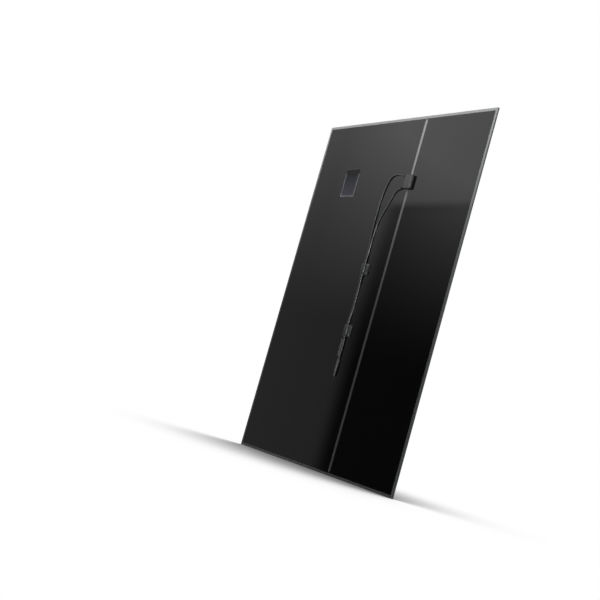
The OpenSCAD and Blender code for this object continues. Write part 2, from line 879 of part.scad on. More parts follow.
front_glass();
cell_film();
encapsulant();
edge_seal();
positive_bus_bar();
negative_bus_bar();
insulating_tape();
positive_foil();
negative_foil();
back_glass();
hole_seal();
jbox_pad();
jbox_base();
jbox_potting();
positive_terminal();
negative_terminal();
bypass_diode();
jbox_gasket();
jbox_lid();
positive_boot();
negative_boot();
positive_core();
negative_core();
positive_lead();
negative_lead();
plug_nut();
plug_grommet();
plug_housing();
plug_contact();
socket_nut();
socket_grommet();
socket_housing();
socket_contact();
socket_ring();
upper_clip_pad();
upper_clip_base();
upper_clip_pin();
upper_clip_gate();
lower_clip_pad();
lower_clip_base();
lower_clip_pin();
lower_clip_gate();
rating_label();
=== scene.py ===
import math
from functools import partial

import bpy
import numpy as np
from bpy.props import FloatProperty, FloatVectorProperty, IntProperty, PointerProperty
from mathutils import Matrix, Vector


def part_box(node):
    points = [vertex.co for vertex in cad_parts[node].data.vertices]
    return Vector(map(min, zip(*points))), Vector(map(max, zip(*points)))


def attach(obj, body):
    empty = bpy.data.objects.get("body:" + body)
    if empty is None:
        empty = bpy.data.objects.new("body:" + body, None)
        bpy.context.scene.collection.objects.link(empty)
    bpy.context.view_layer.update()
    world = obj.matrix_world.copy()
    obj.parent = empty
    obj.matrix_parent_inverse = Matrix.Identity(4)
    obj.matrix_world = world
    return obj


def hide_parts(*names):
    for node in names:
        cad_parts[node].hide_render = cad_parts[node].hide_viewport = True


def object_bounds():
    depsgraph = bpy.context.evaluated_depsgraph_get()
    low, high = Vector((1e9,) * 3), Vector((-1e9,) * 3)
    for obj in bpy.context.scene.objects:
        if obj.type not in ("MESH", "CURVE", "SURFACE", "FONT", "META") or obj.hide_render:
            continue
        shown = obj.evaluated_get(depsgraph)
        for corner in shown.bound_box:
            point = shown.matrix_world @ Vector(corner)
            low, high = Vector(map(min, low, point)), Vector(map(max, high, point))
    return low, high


bl_info = {
    "name": "Frameless solar panel",
    "version": (1, 0, 0),
    "blender": (4, 5, 0),
    "location": "3D View > Sidebar > Solar panel",
    "description": "Dresses the packed glass-glass solar panel and sets up its studio",
    "category": "Object",
}

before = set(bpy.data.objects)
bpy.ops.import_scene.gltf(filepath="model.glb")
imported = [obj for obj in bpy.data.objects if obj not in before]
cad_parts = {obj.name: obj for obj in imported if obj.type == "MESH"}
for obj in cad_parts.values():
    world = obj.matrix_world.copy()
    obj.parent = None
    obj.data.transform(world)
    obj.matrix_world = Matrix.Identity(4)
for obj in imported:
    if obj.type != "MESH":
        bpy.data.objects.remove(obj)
CAD_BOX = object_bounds()
MM = 0.001
UP = np.array([0.0, 0.0, 1.0])
DOWN = np.array([0.0, 0.0, -1.0])
OUT = np.array([0.0, 1.0, 0.0])

# The leads' routes, from the boots' tips to the connectors' grommets, in metres
POSITIVE_ROUTE = [
    (-0.10875, 0.0095, 0.52469), (-0.09909, 0.0095, 0.52728), (-0.084, 0.0089, 0.5305),
    (-0.066, 0.0078, 0.533), (-0.046, 0.0068, 0.5325), (-0.029, 0.0065, 0.528),
    (-0.016, 0.0065, 0.519), (-0.006, 0.0065, 0.506), (0.001, 0.0065, 0.49),
    (0.007, 0.0065, 0.472), (0.0115, 0.0065, 0.453), (0.015, 0.0065, 0.432),
    (0.017, 0.0065, 0.409), (0.018, 0.0065, 0.384), (0.018, 0.0065, 0.357),
    (0.0175, 0.0065, 0.329), (0.0165, 0.0065, 0.301), (0.015, 0.0065, 0.274),
    (0.0125, 0.0065, 0.247), (0.0095, 0.0065, 0.221), (0.0065, 0.0065, 0.196),
    (0.0045, 0.0072, 0.171), (0.0035, 0.0089, 0.146), (0.0035, 0.0097, 0.124),
    (0.0035, 0.0097, 0.097), (0.0035, 0.0097, 0.07), (0.0035, 0.0089, 0.049),
    (0.0035, 0.0074, 0.025), (0.0035, 0.0065, 0.001), (0.003, 0.0065, -0.027),
    (0.0025, 0.0065, -0.055), (0.0025, 0.0065, -0.083), (0.003, 0.0072, -0.109),
    (0.0035, 0.0089, -0.133), (0.0035, 0.0097, -0.155), (0.0035, 0.0097, -0.182),
    (0.0035, 0.0097, -0.209), (0.004, 0.00965, -0.222), (0.004, 0.00965, -0.2273),
]
NEGATIVE_ROUTE = [
    (-0.10875, 0.0095, 0.46931), (-0.09909, 0.0095, 0.46672), (-0.086, 0.009, 0.4625),
    (-0.0755, 0.008, 0.4545), (-0.0675, 0.007, 0.4435), (-0.061, 0.0065, 0.43),
    (-0.054, 0.0065, 0.415), (-0.046, 0.0065, 0.398), (-0.037, 0.0065, 0.38),
    (-0.028, 0.0065, 0.362), (-0.02, 0.0065, 0.345), (-0.013, 0.0065, 0.327),
    (-0.008, 0.0065, 0.308), (-0.0045, 0.0065, 0.287), (-0.0025, 0.0065, 0.264),
    (-0.002, 0.0065, 0.239), (-0.002, 0.0065, 0.214), (-0.0025, 0.0065, 0.189),
    (-0.003, 0.0072, 0.167), (-0.0035, 0.0089, 0.146), (-0.0035, 0.0097, 0.124),
    (-0.0035, 0.0097, 0.097), (-0.0035, 0.0097, 0.07), (-0.0035, 0.0089, 0.049),
    (-0.0035, 0.0074, 0.025), (-0.0035, 0.0065, 0.001), (-0.004, 0.0065, -0.027),
    (-0.0045, 0.0065, -0.055), (-0.0045, 0.0065, -0.083), (-0.004, 0.0072, -0.109),
    (-0.0035, 0.0089, -0.133), (-0.0035, 0.0097, -0.155), (-0.0035, 0.0097, -0.182),
    (-0.0035, 0.0097, -0.209), (-0.0056, 0.0095, -0.22), (-0.0066, 0.0091, -0.233),
    (-0.007, 0.0087, -0.257), (-0.0066, 0.0089, -0.281), (-0.0058, 0.0094, -0.299),
    (-0.0055, 0.00965, -0.312), (-0.0055, 0.00965, -0.3173),
]


def linear(hex_colour):
    """The linear RGBA of an sRGB hex value."""
    srgb = np.array([int(hex_colour[i:i + 2], 16) for i in (1, 3, 5)]) / 255
    bright = ((srgb + 0.055) / 1.055) ** 2.4
    return (*np.where(srgb <= 0.04045, srgb / 12.92, bright).tolist(), 1.0)


# Sizes and colours that a user would change

Colour = partial(FloatVectorProperty, subtype="COLOR", size=4)
Length = partial(FloatProperty, unit="LENGTH", subtype="DISTANCE")
Power = partial(FloatProperty, unit="POWER")


class SolarStageSettings(bpy.types.PropertyGroup):
    """Studio round the panel."""

    lens: FloatProperty(
        name="Lens", description="Focal length on a 36 mm sensor", default=65.63, min=20)
    key_power: Power(
        name="Key light", description="Power of the strip light above the back", default=2.2)
    fill_power: Power(
        name="Fill light", description="Power of the light that grazes the back", default=6.0)
    front_power: Power(
        name="Front light", description="Power of the soft light before the cells", default=24.0)
    ambient: FloatProperty(
        name="Ambient", description="Level of the light from all round", default=0.03, min=0)
    floor_colour: Colour(
        name="Floor", description="Colour of the floor", default=linear("#f2f2f2"))


class SolarLaminateSettings(bpy.types.PropertyGroup):
    """Finish of the glass and of what lies between the sheets."""

    film_colour: Colour(
        name="Cells", description="Colour of the cell film", default=linear("#0a0a0b"))
    scribe_colour: Colour(
        name="Scribes", description="Colour of the lines between the cells",
        default=linear("#1c1e20"))
    scribe_pitch: Length(
        name="Cell pitch", description="Distance between two drawn scribe lines",
        default=14 * MM)
    seal_colour: Colour(
        name="Edge seal", description="Colour of the border between the sheets",
        default=linear("#b6b8b9"))
    tape_colour: Colour(
        name="Tape", description="Colour of the tape under the lead foils",
        default=linear("#b4b6b7"))
    foil_colour: Colour(
        name="Foils", description="Colour of the tinned foils", default=linear("#b9bbbc"))
    coat_colour: Colour(
        name="Bus bars", description="Colour of the coat on the bus bars",
        default=linear("#111213"))
    front_border: Colour(
        name="Front border", description="Colour of the border on the front",
        default=linear("#0d0d0e"))
    edge_colour: Colour(
        name="Ground edge", description="Colour of the ground edges of the glass",
        default=linear("#3f4342"))


class SolarBoxSettings(bpy.types.PropertyGroup):
    """Finish of the junction box and of its boots."""

    base_colour: Colour(name="Base", description="Colour of the box", default=linear("#2a2b2c"))
    # The lid is drawn paler than the base: painted light on its lit top
    lid_colour_painted_lit: Colour(name="Lid", description="Colour of the lid", default=linear("#5f6061"))
    ease: Length(
        name="Edge radius", description="Rounding of the moulded edges", default=0.7 * MM)
    boot_rings: IntProperty(
        name="Boot rings", description="Number of flexing grooves round a boot", default=4)


class SolarLeadSettings(bpy.types.PropertyGroup):
    """Size and finish of the two leads."""

    diameter: Length(
        name="Lead diameter", description="Outside diameter of the jacket", default=5.5 * MM)
    # Paler than a black jacket: painted highlight along the leads
    jacket_colour_painted_highlight: Colour(
        name="Jacket", description="Colour of the jacket", default=linear("#5a5c5e"))
    sides: IntProperty(name="Sides", description="Points round a lead", default=16, min=8)


class SolarConnectorSettings(bpy.types.PropertyGroup):
    """Shape and finish of the plug and the socket."""

    colour: Colour(
        name="Housings", description="Colour of the connectors", default=linear("#4e5053"))
    flutes: IntProperty(
        name="Grip grooves", description="Number of grooves round a nut", default=12)
    flute_depth: Length(
        name="Groove depth", description="Depth of a nut's grooves", default=0.7 * MM)


class SolarClipSettings(bpy.types.PropertyGroup):
    """Shape and finish of the two cable clips."""

    base_colour: Colour(
        name="Base", description="Colour of a clip's base", default=linear("#343537"))
    # The gate is drawn paler than the base: painted light on its lit face
    gate_colour_painted_lit: Colour(
        name="Gate", description="Colour of a clip's gate", default=linear("#46484a"))
    ease: Length(
        name="Edge radius", description="Rounding of the moulded edges", default=0.5 * MM)


class SolarLabelSettings(bpy.types.PropertyGroup):
    """Print of the bare label."""

    head_colour: Colour(
        name="Head band", description="Colour of the band along the top",
        default=linear("#1f1a1c"))
    field_top: Colour(
        name="Field, top", description="Colour of the field under the band",
        default=linear("#1c2024"))
    field_bottom: Colour(
        name="Field, bottom", description="Colour of the field along the foot",
        default=linear("#62616c"))
    border_colour: Colour(
        name="Border", description="Colour of the line round the label",
        default=linear("#d4d4da"))


# Surfaces

# The smallest radius that a corner of a rounded rectangle is drawn in to
LEAST_RADIUS = 0.4 * MM
# Edges that turn by more than this are shaded sharp
SHARP = math.radians(40)


def unit(vectors):
    """Vectors of length 1 along those given."""
    return vectors / np.linalg.norm(vectors, axis=-1, keepdims=True)


def run(points):
    """How far along a polyline each of its points lies."""
    return np.concatenate([[0], np.cumsum(np.linalg.norm(np.diff(points, axis=0), axis=1))])


def between(values, span):
    """Where values lie within a span."""
    return (values > span[0]) & (values < span[1])


def full_turn(sides):
    """Even angles round a circle."""
    return 2 * np.pi * np.arange(sides) / sides


def skin(rings, closed=False):
    """A closed surface through rings of points, given as (ring, place round it, xyz).

    Quads join each ring to the next. closed joins the last ring to the first, as round a
    tyre; otherwise both end rings are filled flat. The faces are turned outwards by the
    sign of the volume that they enclose.
    """
    count, around, _ = rings.shape
    ring = np.arange(count if closed else count - 1)[:, None]
    after = (ring + 1) % count
    place = np.arange(around)
    beside = (place + 1) % around
    quads = np.stack(
        [ring * around + place, ring * around + beside,
         after * around + beside, after * around + place], -1).reshape(-1, 4)
    faces = [quads]
    if not closed:
        faces += [place[None, ::-1], place[None] + (count - 1) * around]
    points = rings.reshape(-1, 3)
    triangles = np.concatenate(
        [group[:, [0, i, i + 1]] for group in faces for i in range(1, group.shape[1] - 1)])
    a, b, c = points[triangles].transpose(1, 0, 2)
    if np.sum(a * np.cross(b, c)) < 0:
        faces = [group[:, ::-1] for group in faces]
    return points, faces


def eased(corners, ease, steps=4, closed=False):
    """A polyline with its corners rounded.

    A corner gives way to a quadratic curve between the points at the distance ease, or half
    the side if that is less, before and after it.
    """
    p = np.asarray(corners, float)
    before, after = np.roll(p, 1, 0) - p, np.roll(p, -1, 0) - p
    long_a = np.linalg.norm(before, axis=1, keepdims=True)
    long_b = np.linalg.norm(after, axis=1, keepdims=True)
    a = p + before / long_a * np.minimum(ease, long_a / 2)
    b = p + after / long_b * np.minimum(ease, long_b / 2)
    t = np.linspace(0, 1, steps + 1)[None, :, None]
    curve = (1 - t) ** 2 * a[:, None] + 2 * t * (1 - t) * p[:, None] + t ** 2 * b[:, None]
    if closed:
        return curve.reshape(-1, p.shape[1])
    inner = curve[1:-1].reshape(-1, p.shape[1])
    return np.concatenate([p[:1], inner, p[-1:]])


def dense(line, step, closed=False):
    """A polyline with more points: those it has, and others at most step apart."""
    p = np.asarray(line, float)
    if closed:
        p = np.concatenate([p, p[:1]])
    along = run(p)
    even = np.linspace(0, along[-1], max(2, math.ceil(along[-1] / step) + 1))
    at = np.unique(np.round(np.concatenate([along, even]), 7))
    finer = np.stack([np.interp(at, along, p[:, k]) for k in range(p.shape[1])], -1)
    return finer[:-1] if closed else finer


def rounded_rings(centre, width, length, radius, profile, steps=6, least=0.0):
    """Rings of a rounded rectangle in X and Z, one for each (inset, level) of a profile.

    Each ring is the outline drawn in by the inset, with four quarter circles whose radius is
    drawn in too, at the level along Y. No side comes nearer to the centre than least.
    """
    inset, level = np.asarray(profile, float).T[:, :, None]
    r = np.maximum(radius - inset, LEAST_RADIUS)
    quarter = np.linspace(0, 90, steps + 1)
    turn = np.radians(np.concatenate([quarter + 90 * k for k in range(4)]))[None, :]
    side = np.array([[1, 1], [-1, 1], [-1, -1], [1, -1]]).repeat(steps + 1, 0)
    half_x = np.maximum(width / 2 - inset, least)
    half_z = np.maximum(length / 2 - inset, least)
    x = centre[0] + side[:, 0] * (half_x - r) + r * np.cos(turn)
    z = centre[1] + side[:, 1] * (half_z - r) + r * np.sin(turn)
    return np.stack(np.broadcast_arrays(x, level, z), -1)


def turned_rings(origin, axis, profile, sides=48, relief=None):
    """Rings of a turned shape: a profile of (distance along the axis, radius) spun round it.

    relief gives what is added to the radius at a distance, radius and angle.
    """
    axis = unit(np.asarray(axis, float))
    side = unit(np.cross(axis, OUT if abs(axis[1]) < 0.9 else UP))
    over = np.cross(axis, side)
    s, r = np.asarray(profile, float).T[:, :, None]
    turn = full_turn(sides)[None, :]
    if relief is not None:
        r = r + relief(s, r, turn)
    spoke = np.cos(turn)[..., None] * side + np.sin(turn)[..., None] * over
    return np.asarray(origin) + s[..., None] * axis + r[..., None] * spoke


def smooth_route(points, step):
    """A smooth curve through every point of a route, with points about step apart.

    Between two points it is the cubic whose end slopes are the route's own, taken from the
    neighbours over the chord lengths.
    """
    p = np.asarray(points, float)
    at = run(p)
    slope = np.gradient(p, at, axis=0)
    t = np.linspace(0, at[-1], math.ceil(at[-1] / step) + 1)
    i = np.clip(np.searchsorted(at, t, "right") - 1, 0, len(p) - 2)
    span = (at[i + 1] - at[i])[:, None]
    u = (t - at[i])[:, None] / span
    return ((1 + 2 * u) * (1 - u) ** 2 * p[i] + u * (1 - u) ** 2 * span * slope[i]
            + u ** 2 * (3 - 2 * u) * p[i + 1] + u ** 2 * (u - 1) * span * slope[i + 1])


def tube_rings(path, radius, sides):
    """Circles round a path, each square to it, with their points counted from the Y axis."""
    along = unit(np.gradient(path, axis=0))
    side = unit(np.cross(OUT, along))
    over = np.cross(along, side)
    turn = full_turn(sides)[None, :, None]
    return path[:, None] + radius * (np.cos(turn) * side[:, None] + np.sin(turn) * over[:, None])


def strip_rings(path, thickness, length, middle, ease):
    """Sections of a bent strip: a rounded rectangle carried along a path in X and Y.

    Its long side lies along Z. Near both ends the section is drawn in along a quarter circle,
    so that the strip's ends are rounded too.
    """
    p = np.asarray(path, float)
    at = run(p)
    round_in = ease * (1 - np.cos(np.linspace(0, np.pi / 2, 5)))
    t = np.unique(np.round(np.concatenate([round_in, at, at[-1] - round_in]), 8))
    line = np.stack([np.interp(t, at, p[:, k]) for k in range(2)], -1)
    along = unit(np.gradient(line, t, axis=0))
    across = np.stack([-along[:, 1], along[:, 0]], -1)
    near = ease - np.minimum(np.minimum(t, at[-1] - t), ease)
    shrink = ease - np.sqrt(np.maximum(ease ** 2 - near ** 2, 0))
    profile = np.stack([shrink, np.zeros_like(shrink)], -1)
    section = rounded_rings((0, middle), thickness, length, ease * 1.2, profile, steps=3)
    place = line[:, None] + across[:, None] * section[..., :1]
    return np.concatenate([place, section[..., 2:]], -1)


def block(centre, width, length, radius, low, high, ease):
    """A rounded block between two levels in Y, with its lower and upper edges eased."""
    profile = eased([(2 * ease, low), (0, low), (0, high), (2 * ease, high)], ease)
    return skin(rounded_rings(centre, width, length, radius, profile))


def ring_on_axis(origin, axis, start, end, bore, radius, ease, sides=40):
    """A turned ring with a bore and eased edges, between two distances along an axis."""
    profile = eased(
        [(start, bore), (start, radius), (end, radius), (end, bore)], ease, closed=True)
    return skin(turned_rings(origin, axis, profile, sides), closed=True)


def make_piece(name, islands, material, body, node):
    """Puts surfaces into one finished mesh object, in place of a CAD node, and on its body."""
    points, faces, start = [], [], 0
    for island_points, groups in islands:
        points.append(island_points)
        for group in groups:
            faces += (group + start).tolist()
        start += len(island_points)
    mesh = bpy.data.meshes.new(name)
    mesh.from_pydata(np.concatenate(points).tolist(), [], faces)
    mesh.shade_smooth()
    mesh.set_sharp_from_angle(angle=SHARP)
    mesh.materials.append(material)
    piece = bpy.data.objects.new(name, mesh)
    bpy.context.scene.collection.objects.link(piece)
    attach(piece, body)
    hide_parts(node)
    return piece


def dress(names, material):
    """Gives CAD nodes a finish."""
    for name in names:
        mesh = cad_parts[name].data
        mesh.materials.clear()
        mesh.materials.append(material)


# Finishes

# Sockets of a Mix node: its factor, its two numbers, its two colours and the colour it gives
FACTOR, NUMBER_A, NUMBER_B, COLOUR_A, COLOUR_B, COLOUR_OUT = 0, 2, 3, 6, 7, 2


def add(tree, kind, inputs=None, out=0, **fields):
    """Adds a node and gives one of its outputs. An input is a value, or an output to link."""
    made = tree.nodes.new(kind)
    for field, value in fields.items():
        setattr(made, field, value)
    for key, value in (inputs or {}).items():
        if isinstance(value, bpy.types.NodeSocket):
            tree.links.new(value, made.inputs[key])
        else:
            made.inputs[key].default_value = value
    return made.outputs[out] if made.outputs else None


def reckon(tree, rows, **given):
    """Works out numbers by nodes, a row for each: what it gives, how, and from what.

    A value is a number, an output, or the name of what is given or an earlier row gives. LINEAR
    and SMOOTHSTEP carry a value from one range to another, which is 0 to 1 if it isn't named.
    MIX goes from its second value to its third. The last row is the result.
    """
    for name, work, *values in rows:
        values = [given[value] if isinstance(value, str) else value for value in values]
        if work == "MIX":
            kind, keys, fields = "ShaderNodeMix", (FACTOR, NUMBER_A, NUMBER_B), {}
        elif work in ("LINEAR", "SMOOTHSTEP"):
            kind, keys, fields = "ShaderNodeMapRange", range(5), {"interpolation_type": work}
        else:
            kind, keys, fields = "ShaderNodeMath", range(3), {"operation": work}
        given[name] = add(tree, kind, dict(zip(keys, values)), **fields)
    return given[name]


def new_material(name):
    """An empty node material and its tree."""
    material = bpy.data.materials.get(name) or bpy.data.materials.new(name)
    material.use_nodes = True
    material.node_tree.nodes.clear()
    return material, material.node_tree


def surface(tree, kind, inputs=None):
    """Ends a material with its shader."""
    add(tree, "ShaderNodeOutputMaterial", {"Surface": add(tree, kind, inputs)})


def shaded(colour, factor):
    """A linear colour made darker or lighter."""
    return (*[min(1.0, channel * factor) for channel in colour[:3]], 1.0)


def clouded(tree, place, size, colour, change, detail=3.0, roughness=0.5):
    """A colour that drifts both ways by a share of itself, in clouds of a size in metres."""
    clouds = add(tree, "ShaderNodeTexNoise", {
        "Vector": place, "Scale": 1 / size, "Detail": detail, "Roughness": roughness})
    return add(tree, "ShaderNodeMix", {
        FACTOR: clouds, COLOUR_A: shaded(colour, 1 - change),
        COLOUR_B: shaded(colour, 1 + change)}, COLOUR_OUT, data_type="RGBA")


def moulded(name, colour, roughness, grain, depth, ior=1.5):
    """A polymer with a grained skin: fine bumps of the mould, and a slow change of tone.

    grain is the width of a bump and depth its height, both in metres. A real grain is mostly
    finer, and is drawn coarser so that it shows.
    """
    material, tree = new_material(name)
    place = add(tree, "ShaderNodeTexCoord", out="Object")
    bumps = add(tree, "ShaderNodeTexNoise", {
        "Vector": place, "Scale": 1 / grain, "Detail": 2.0, "Roughness": 0.55})
    matt = reckon(tree, [("matt", "LINEAR", bumps, 0.3, 0.7, roughness - 0.06, roughness + 0.06)])
    relief = add(tree, "ShaderNodeBump", {"Height": bumps, "Strength": 0.5, "Distance": depth})
    surface(tree, "ShaderNodeBsdfPrincipled", {
        "Base Color": clouded(tree, place, 30 * MM, colour, 0.18), "Roughness": matt,
        "IOR": ior, "Normal": relief})
    return material


def moulded_rubber():
    """Black rubber from a mould: dull, with no clear highlight."""
    return moulded("moulded_rubber", linear("#17181a"), 0.6, 1.5 * MM, 0.05 * MM)


def bare_metal(name, colour, roughness, streak):
    """A drawn or stamped metal: fine streaks of the draw, which vary its gloss and tone.

    streak is the width of a streak in metres, coarser than the real ones so that they show.
    """
    material, tree = new_material(name)
    place = add(tree, "ShaderNodeTexCoord", out="Object")
    drawn = add(tree, "ShaderNodeMapping", {
        "Vector": place, "Scale": (1 / streak, 1 / streak, 0.05 / streak)})
    lines = add(tree, "ShaderNodeTexNoise", {"Vector": drawn, "Scale": 1.0, "Detail": 2.0})
    tone = add(tree, "ShaderNodeMix", {
        FACTOR: lines, COLOUR_A: shaded(colour, 0.85), COLOUR_B: shaded(colour, 1.1)},
        COLOUR_OUT, data_type="RGBA")
    gloss = reckon(tree, [
        ("gloss", "LINEAR", lines, 0.3, 0.7, roughness - 0.08, roughness + 0.08)])
    surface(tree, "ShaderNodeBsdfPrincipled", {
        "Base Color": tone, "Roughness": gloss, "Metallic": 1.0})
    return material


def clear_layer(name):
    """A clear face between bonded layers, which neither mirrors nor tints."""
    material, tree = new_material(name)
    surface(tree, "ShaderNodeBsdfTransparent")
    return material


def laid_in(name, colour, mottle, contrast):
    """A matt layer of the laminate, with a mottled tone."""
    material, tree = new_material(name)
    place = add(tree, "ShaderNodeTexCoord", out="Object")
    tone = clouded(tree, place, mottle, colour, contrast, roughness=0.6)
    surface(tree, "ShaderNodeBsdfPrincipled", {"Base Color": tone, "Roughness": 0.6})
    return material


def scribed_cells(tree, place, settings):
    """The colour of the cell film: near black, parted by laser scribes across the panel.

    Real scribes are about 7 mm apart and under 0.5 mm wide; they are drawn twice as far apart
    and wider, so that they show at all.
    """
    height = add(tree, "ShaderNodeSeparateXYZ", {0: place}, "Z")
    line = reckon(tree, [
        ("cells", "DIVIDE", height, settings.scribe_pitch),
        ("across", "FRACT", "cells"),
        ("from_line", "SUBTRACT", "across", 0.5),
        ("away", "ABSOLUTE", "from_line"),
        ("line", "SMOOTHSTEP", "away", 0.0, 0.09, 1.0, 0.0),
    ])
    film = clouded(tree, place, 180 * MM, settings.film_colour, 0.2, detail=2.0)
    return add(tree, "ShaderNodeMix", {
        FACTOR: line, COLOUR_A: film, COLOUR_B: tuple(settings.scribe_colour)},
        COLOUR_OUT, data_type="RGBA")


def within(tree, axes, box, grow):
    """1 within a box's outline in X and Z, grown by a margin, and 0 outside it."""
    low, high = box
    soft, rows = 0.2 * MM, []
    for axis, edge in ((0, "edge_x"), (2, "edge_z")):
        middle, half = (low[axis] + high[axis]) / 2, (high[axis] - low[axis]) / 2 + grow
        rows += [
            ("off", "SUBTRACT", axes[axis], middle),
            ("away", "ABSOLUTE", "off"),
            (edge, "LINEAR", "away", half + soft, half - soft),
        ]
    return reckon(tree, [*rows, ("both", "MULTIPLY", "edge_x", "edge_z")])


def glass_over_layers(name, settings, layers, roughness, ripple):
    """Glass bonded over layers that let no light through: their colours under its gloss.

    The layers are rows of a CAD node, a margin and a colour, from the farthest to the nearest.
    Each is drawn where its node lies. ripple is the depth of an etched face's grain, which is
    drawn 2 mm wide, coarser than it is, so that it shows.
    """
    material, tree = new_material(name)
    place = add(tree, "ShaderNodeTexCoord", out="Object")
    axes = add(tree, "ShaderNodeSeparateXYZ", {0: place}).node.outputs
    tone = tuple(settings.edge_colour)
    for part, grow, colour in layers:
        colour = scribed_cells(tree, place, settings) if part == "cell_film" else tuple(colour)
        tone = add(tree, "ShaderNodeMix", {
            FACTOR: within(tree, axes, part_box(part), grow), COLOUR_A: tone, COLOUR_B: colour},
            COLOUR_OUT, data_type="RGBA")
    spots = add(tree, "ShaderNodeTexNoise", {
        "Vector": place, "Scale": 1 / (9 * MM), "Detail": 3.0, "Roughness": 0.6})
    mottle = reckon(tree, [("mottle", "LINEAR", spots, 0.3, 0.7, 0.94, 1.0)])
    mottled = add(tree, "ShaderNodeMix", {
        FACTOR: 1.0, COLOUR_A: tone, COLOUR_B: mottle}, COLOUR_OUT, data_type="RGBA",
        blend_type="MULTIPLY")
    sockets = {"Base Color": mottled, "Roughness": roughness, "IOR": 1.52}
    if ripple:
        waves = add(tree, "ShaderNodeTexNoise", {"Vector": place, "Scale": 1 / (2 * MM)})
        sockets["Normal"] = add(tree, "ShaderNodeBump", {
            "Height": waves, "Strength": 0.25, "Distance": ripple})
    surface(tree, "ShaderNodeBsdfPrincipled", sockets)
    return material


def printed_film(settings, low, high):
    """Printed polyester: a dark head band over a slate field that pales downwards, in a pale line.

    It carries no words. The bands are placed by the label's own height and width.
    """
    material, tree = new_material("printed_polyester")
    head_low = 0.815
    border, head = tuple(settings.border_colour), tuple(settings.head_colour)
    stops = [
        (0.0, border), (0.022, border), (0.03, tuple(settings.field_bottom)),
        (0.80, tuple(settings.field_top)), (head_low, head), (0.985, head),
        (1.0, shaded(border, 0.5))]
    place = add(tree, "ShaderNodeTexCoord", out="Object")
    axes = add(tree, "ShaderNodeSeparateXYZ", {0: place}).node.outputs
    up = reckon(tree, [("up", "LINEAR", axes["Z"], low[2], high[2])])
    bands = add(tree, "ShaderNodeValToRGB", {0: up})
    elements = bands.node.color_ramp.elements
    elements[0].position, elements[0].color = stops[0]
    elements[1].position, elements[1].color = stops[-1]
    for position, colour in stops[1:-1]:
        elements.new(position).color = colour
    middle, half = (low[0] + high[0]) / 2, (high[0] - low[0]) / 2
    side_line = reckon(tree, [
        ("off", "SUBTRACT", axes["X"], middle),
        ("aside", "ABSOLUTE", "off"),
        ("line", "LINEAR", "aside", half - 3.2 * MM, half - 2.4 * MM),
        ("below_head", "LESS_THAN", up, head_low),
        ("side_line", "MULTIPLY", "line", "below_head"),
    ])
    tone = add(tree, "ShaderNodeMix", {
        FACTOR: side_line, COLOUR_A: bands, COLOUR_B: border}, COLOUR_OUT, data_type="RGBA")
    haze = add(tree, "ShaderNodeTexNoise", {"Vector": place, "Scale": 1 / (1.5 * MM)})
    gloss = reckon(tree, [("gloss", "LINEAR", haze, 0.0, 1.0, 0.5, 0.65)])
    surface(tree, "ShaderNodeBsdfPrincipled", {
        "Base Color": tone, "Roughness": gloss, "Specular IOR Level": 0.2})
    return material


# Stage

# Where the camera stands, what it looks along and its upward direction
CAMERA_PLACE = (-3.916, 2.6955, -0.577)
CAMERA_ALONG = (0.847, -0.523, 0.098)
CAMERA_UP = (0.065, 0.284, 0.957)
# Half the side of the floor
FLOOR_REACH = 9.0
# The studio that gloss mirrors, as rows of reckon, from a ray's direction
STUDIO = [
    # Where a ray meets the wall: how high and how far to the side, over its depth
    ("distance", "ABSOLUTE", "depth"),
    ("far", "MAXIMUM", "distance", 0.45),
    ("rise", "DIVIDE", "height", "far"),
    ("ahead", "MAXIMUM", "depth", 0.3),
    ("width", "DIVIDE", "across", "ahead"),
    # The wall, which brightens upwards and to one side, up to white
    ("side", "LINEAR", "width", 1.62, 1.25, 0.42, 1.32),
    ("climb", "LINEAR", "rise", 0.16, 0.49),
    ("upward", "POWER", "climb", 1.3),
    ("bright", "MULTIPLY_ADD", "side", "upward", 0.2),
    ("wall", "MINIMUM", "bright", 1.04),
    # The face of a black flag, a little paler towards its top and to that side
    ("flag_climb", "LINEAR", "rise", 0.09, 0.344),
    ("flag_upward", "POWER", "flag_climb", 2.0),
    ("flag_side", "MULTIPLY", "side", "side"),
    ("flag_bright", "MULTIPLY", "flag_side", "flag_upward"),
    ("flag", "MULTIPLY_ADD", "flag_bright", 0.264, 0.03),
    # Where the flag stands before the wall: between two sides, under a sharp top
    ("flag_left", "SMOOTHSTEP", "width", 1.46, 1.408),
    ("flag_top", "SMOOTHSTEP", "rise", 0.370, 0.353),
    ("flag_corner", "MULTIPLY", "flag_left", "flag_top"),
    ("flag_right", "SMOOTHSTEP", "width", 0.3, 0.5),
    ("flag_width", "MULTIPLY", "flag_corner", "flag_right"),
    ("flag_depth", "SMOOTHSTEP", "depth", 0.2, 0.35),
    ("cover", "MULTIPLY", "flag_width", "flag_depth"),
    ("flagged_wall", "MIX", "cover", "wall", "flag"),
    # The open white side, and a pale ground below
    ("open_width", "SMOOTHSTEP", "width", 1.12, 0.95),
    ("open_depth", "SMOOTHSTEP", "depth", -0.05, 0.2),
    ("open_side", "MULTIPLY", "open_width", "open_depth"),
    ("open_rise", "LINEAR", "rise", -0.05, 0.06),
    ("opening", "MULTIPLY", "open_side", "open_rise"),
    ("above", "MIX", "opening", "flagged_wall", 1.0),
    ("ground", "LINEAR", "rise", -0.1, -0.6, 0.0, 0.75),
    ("studio", "ADD", "above", "ground"),
]


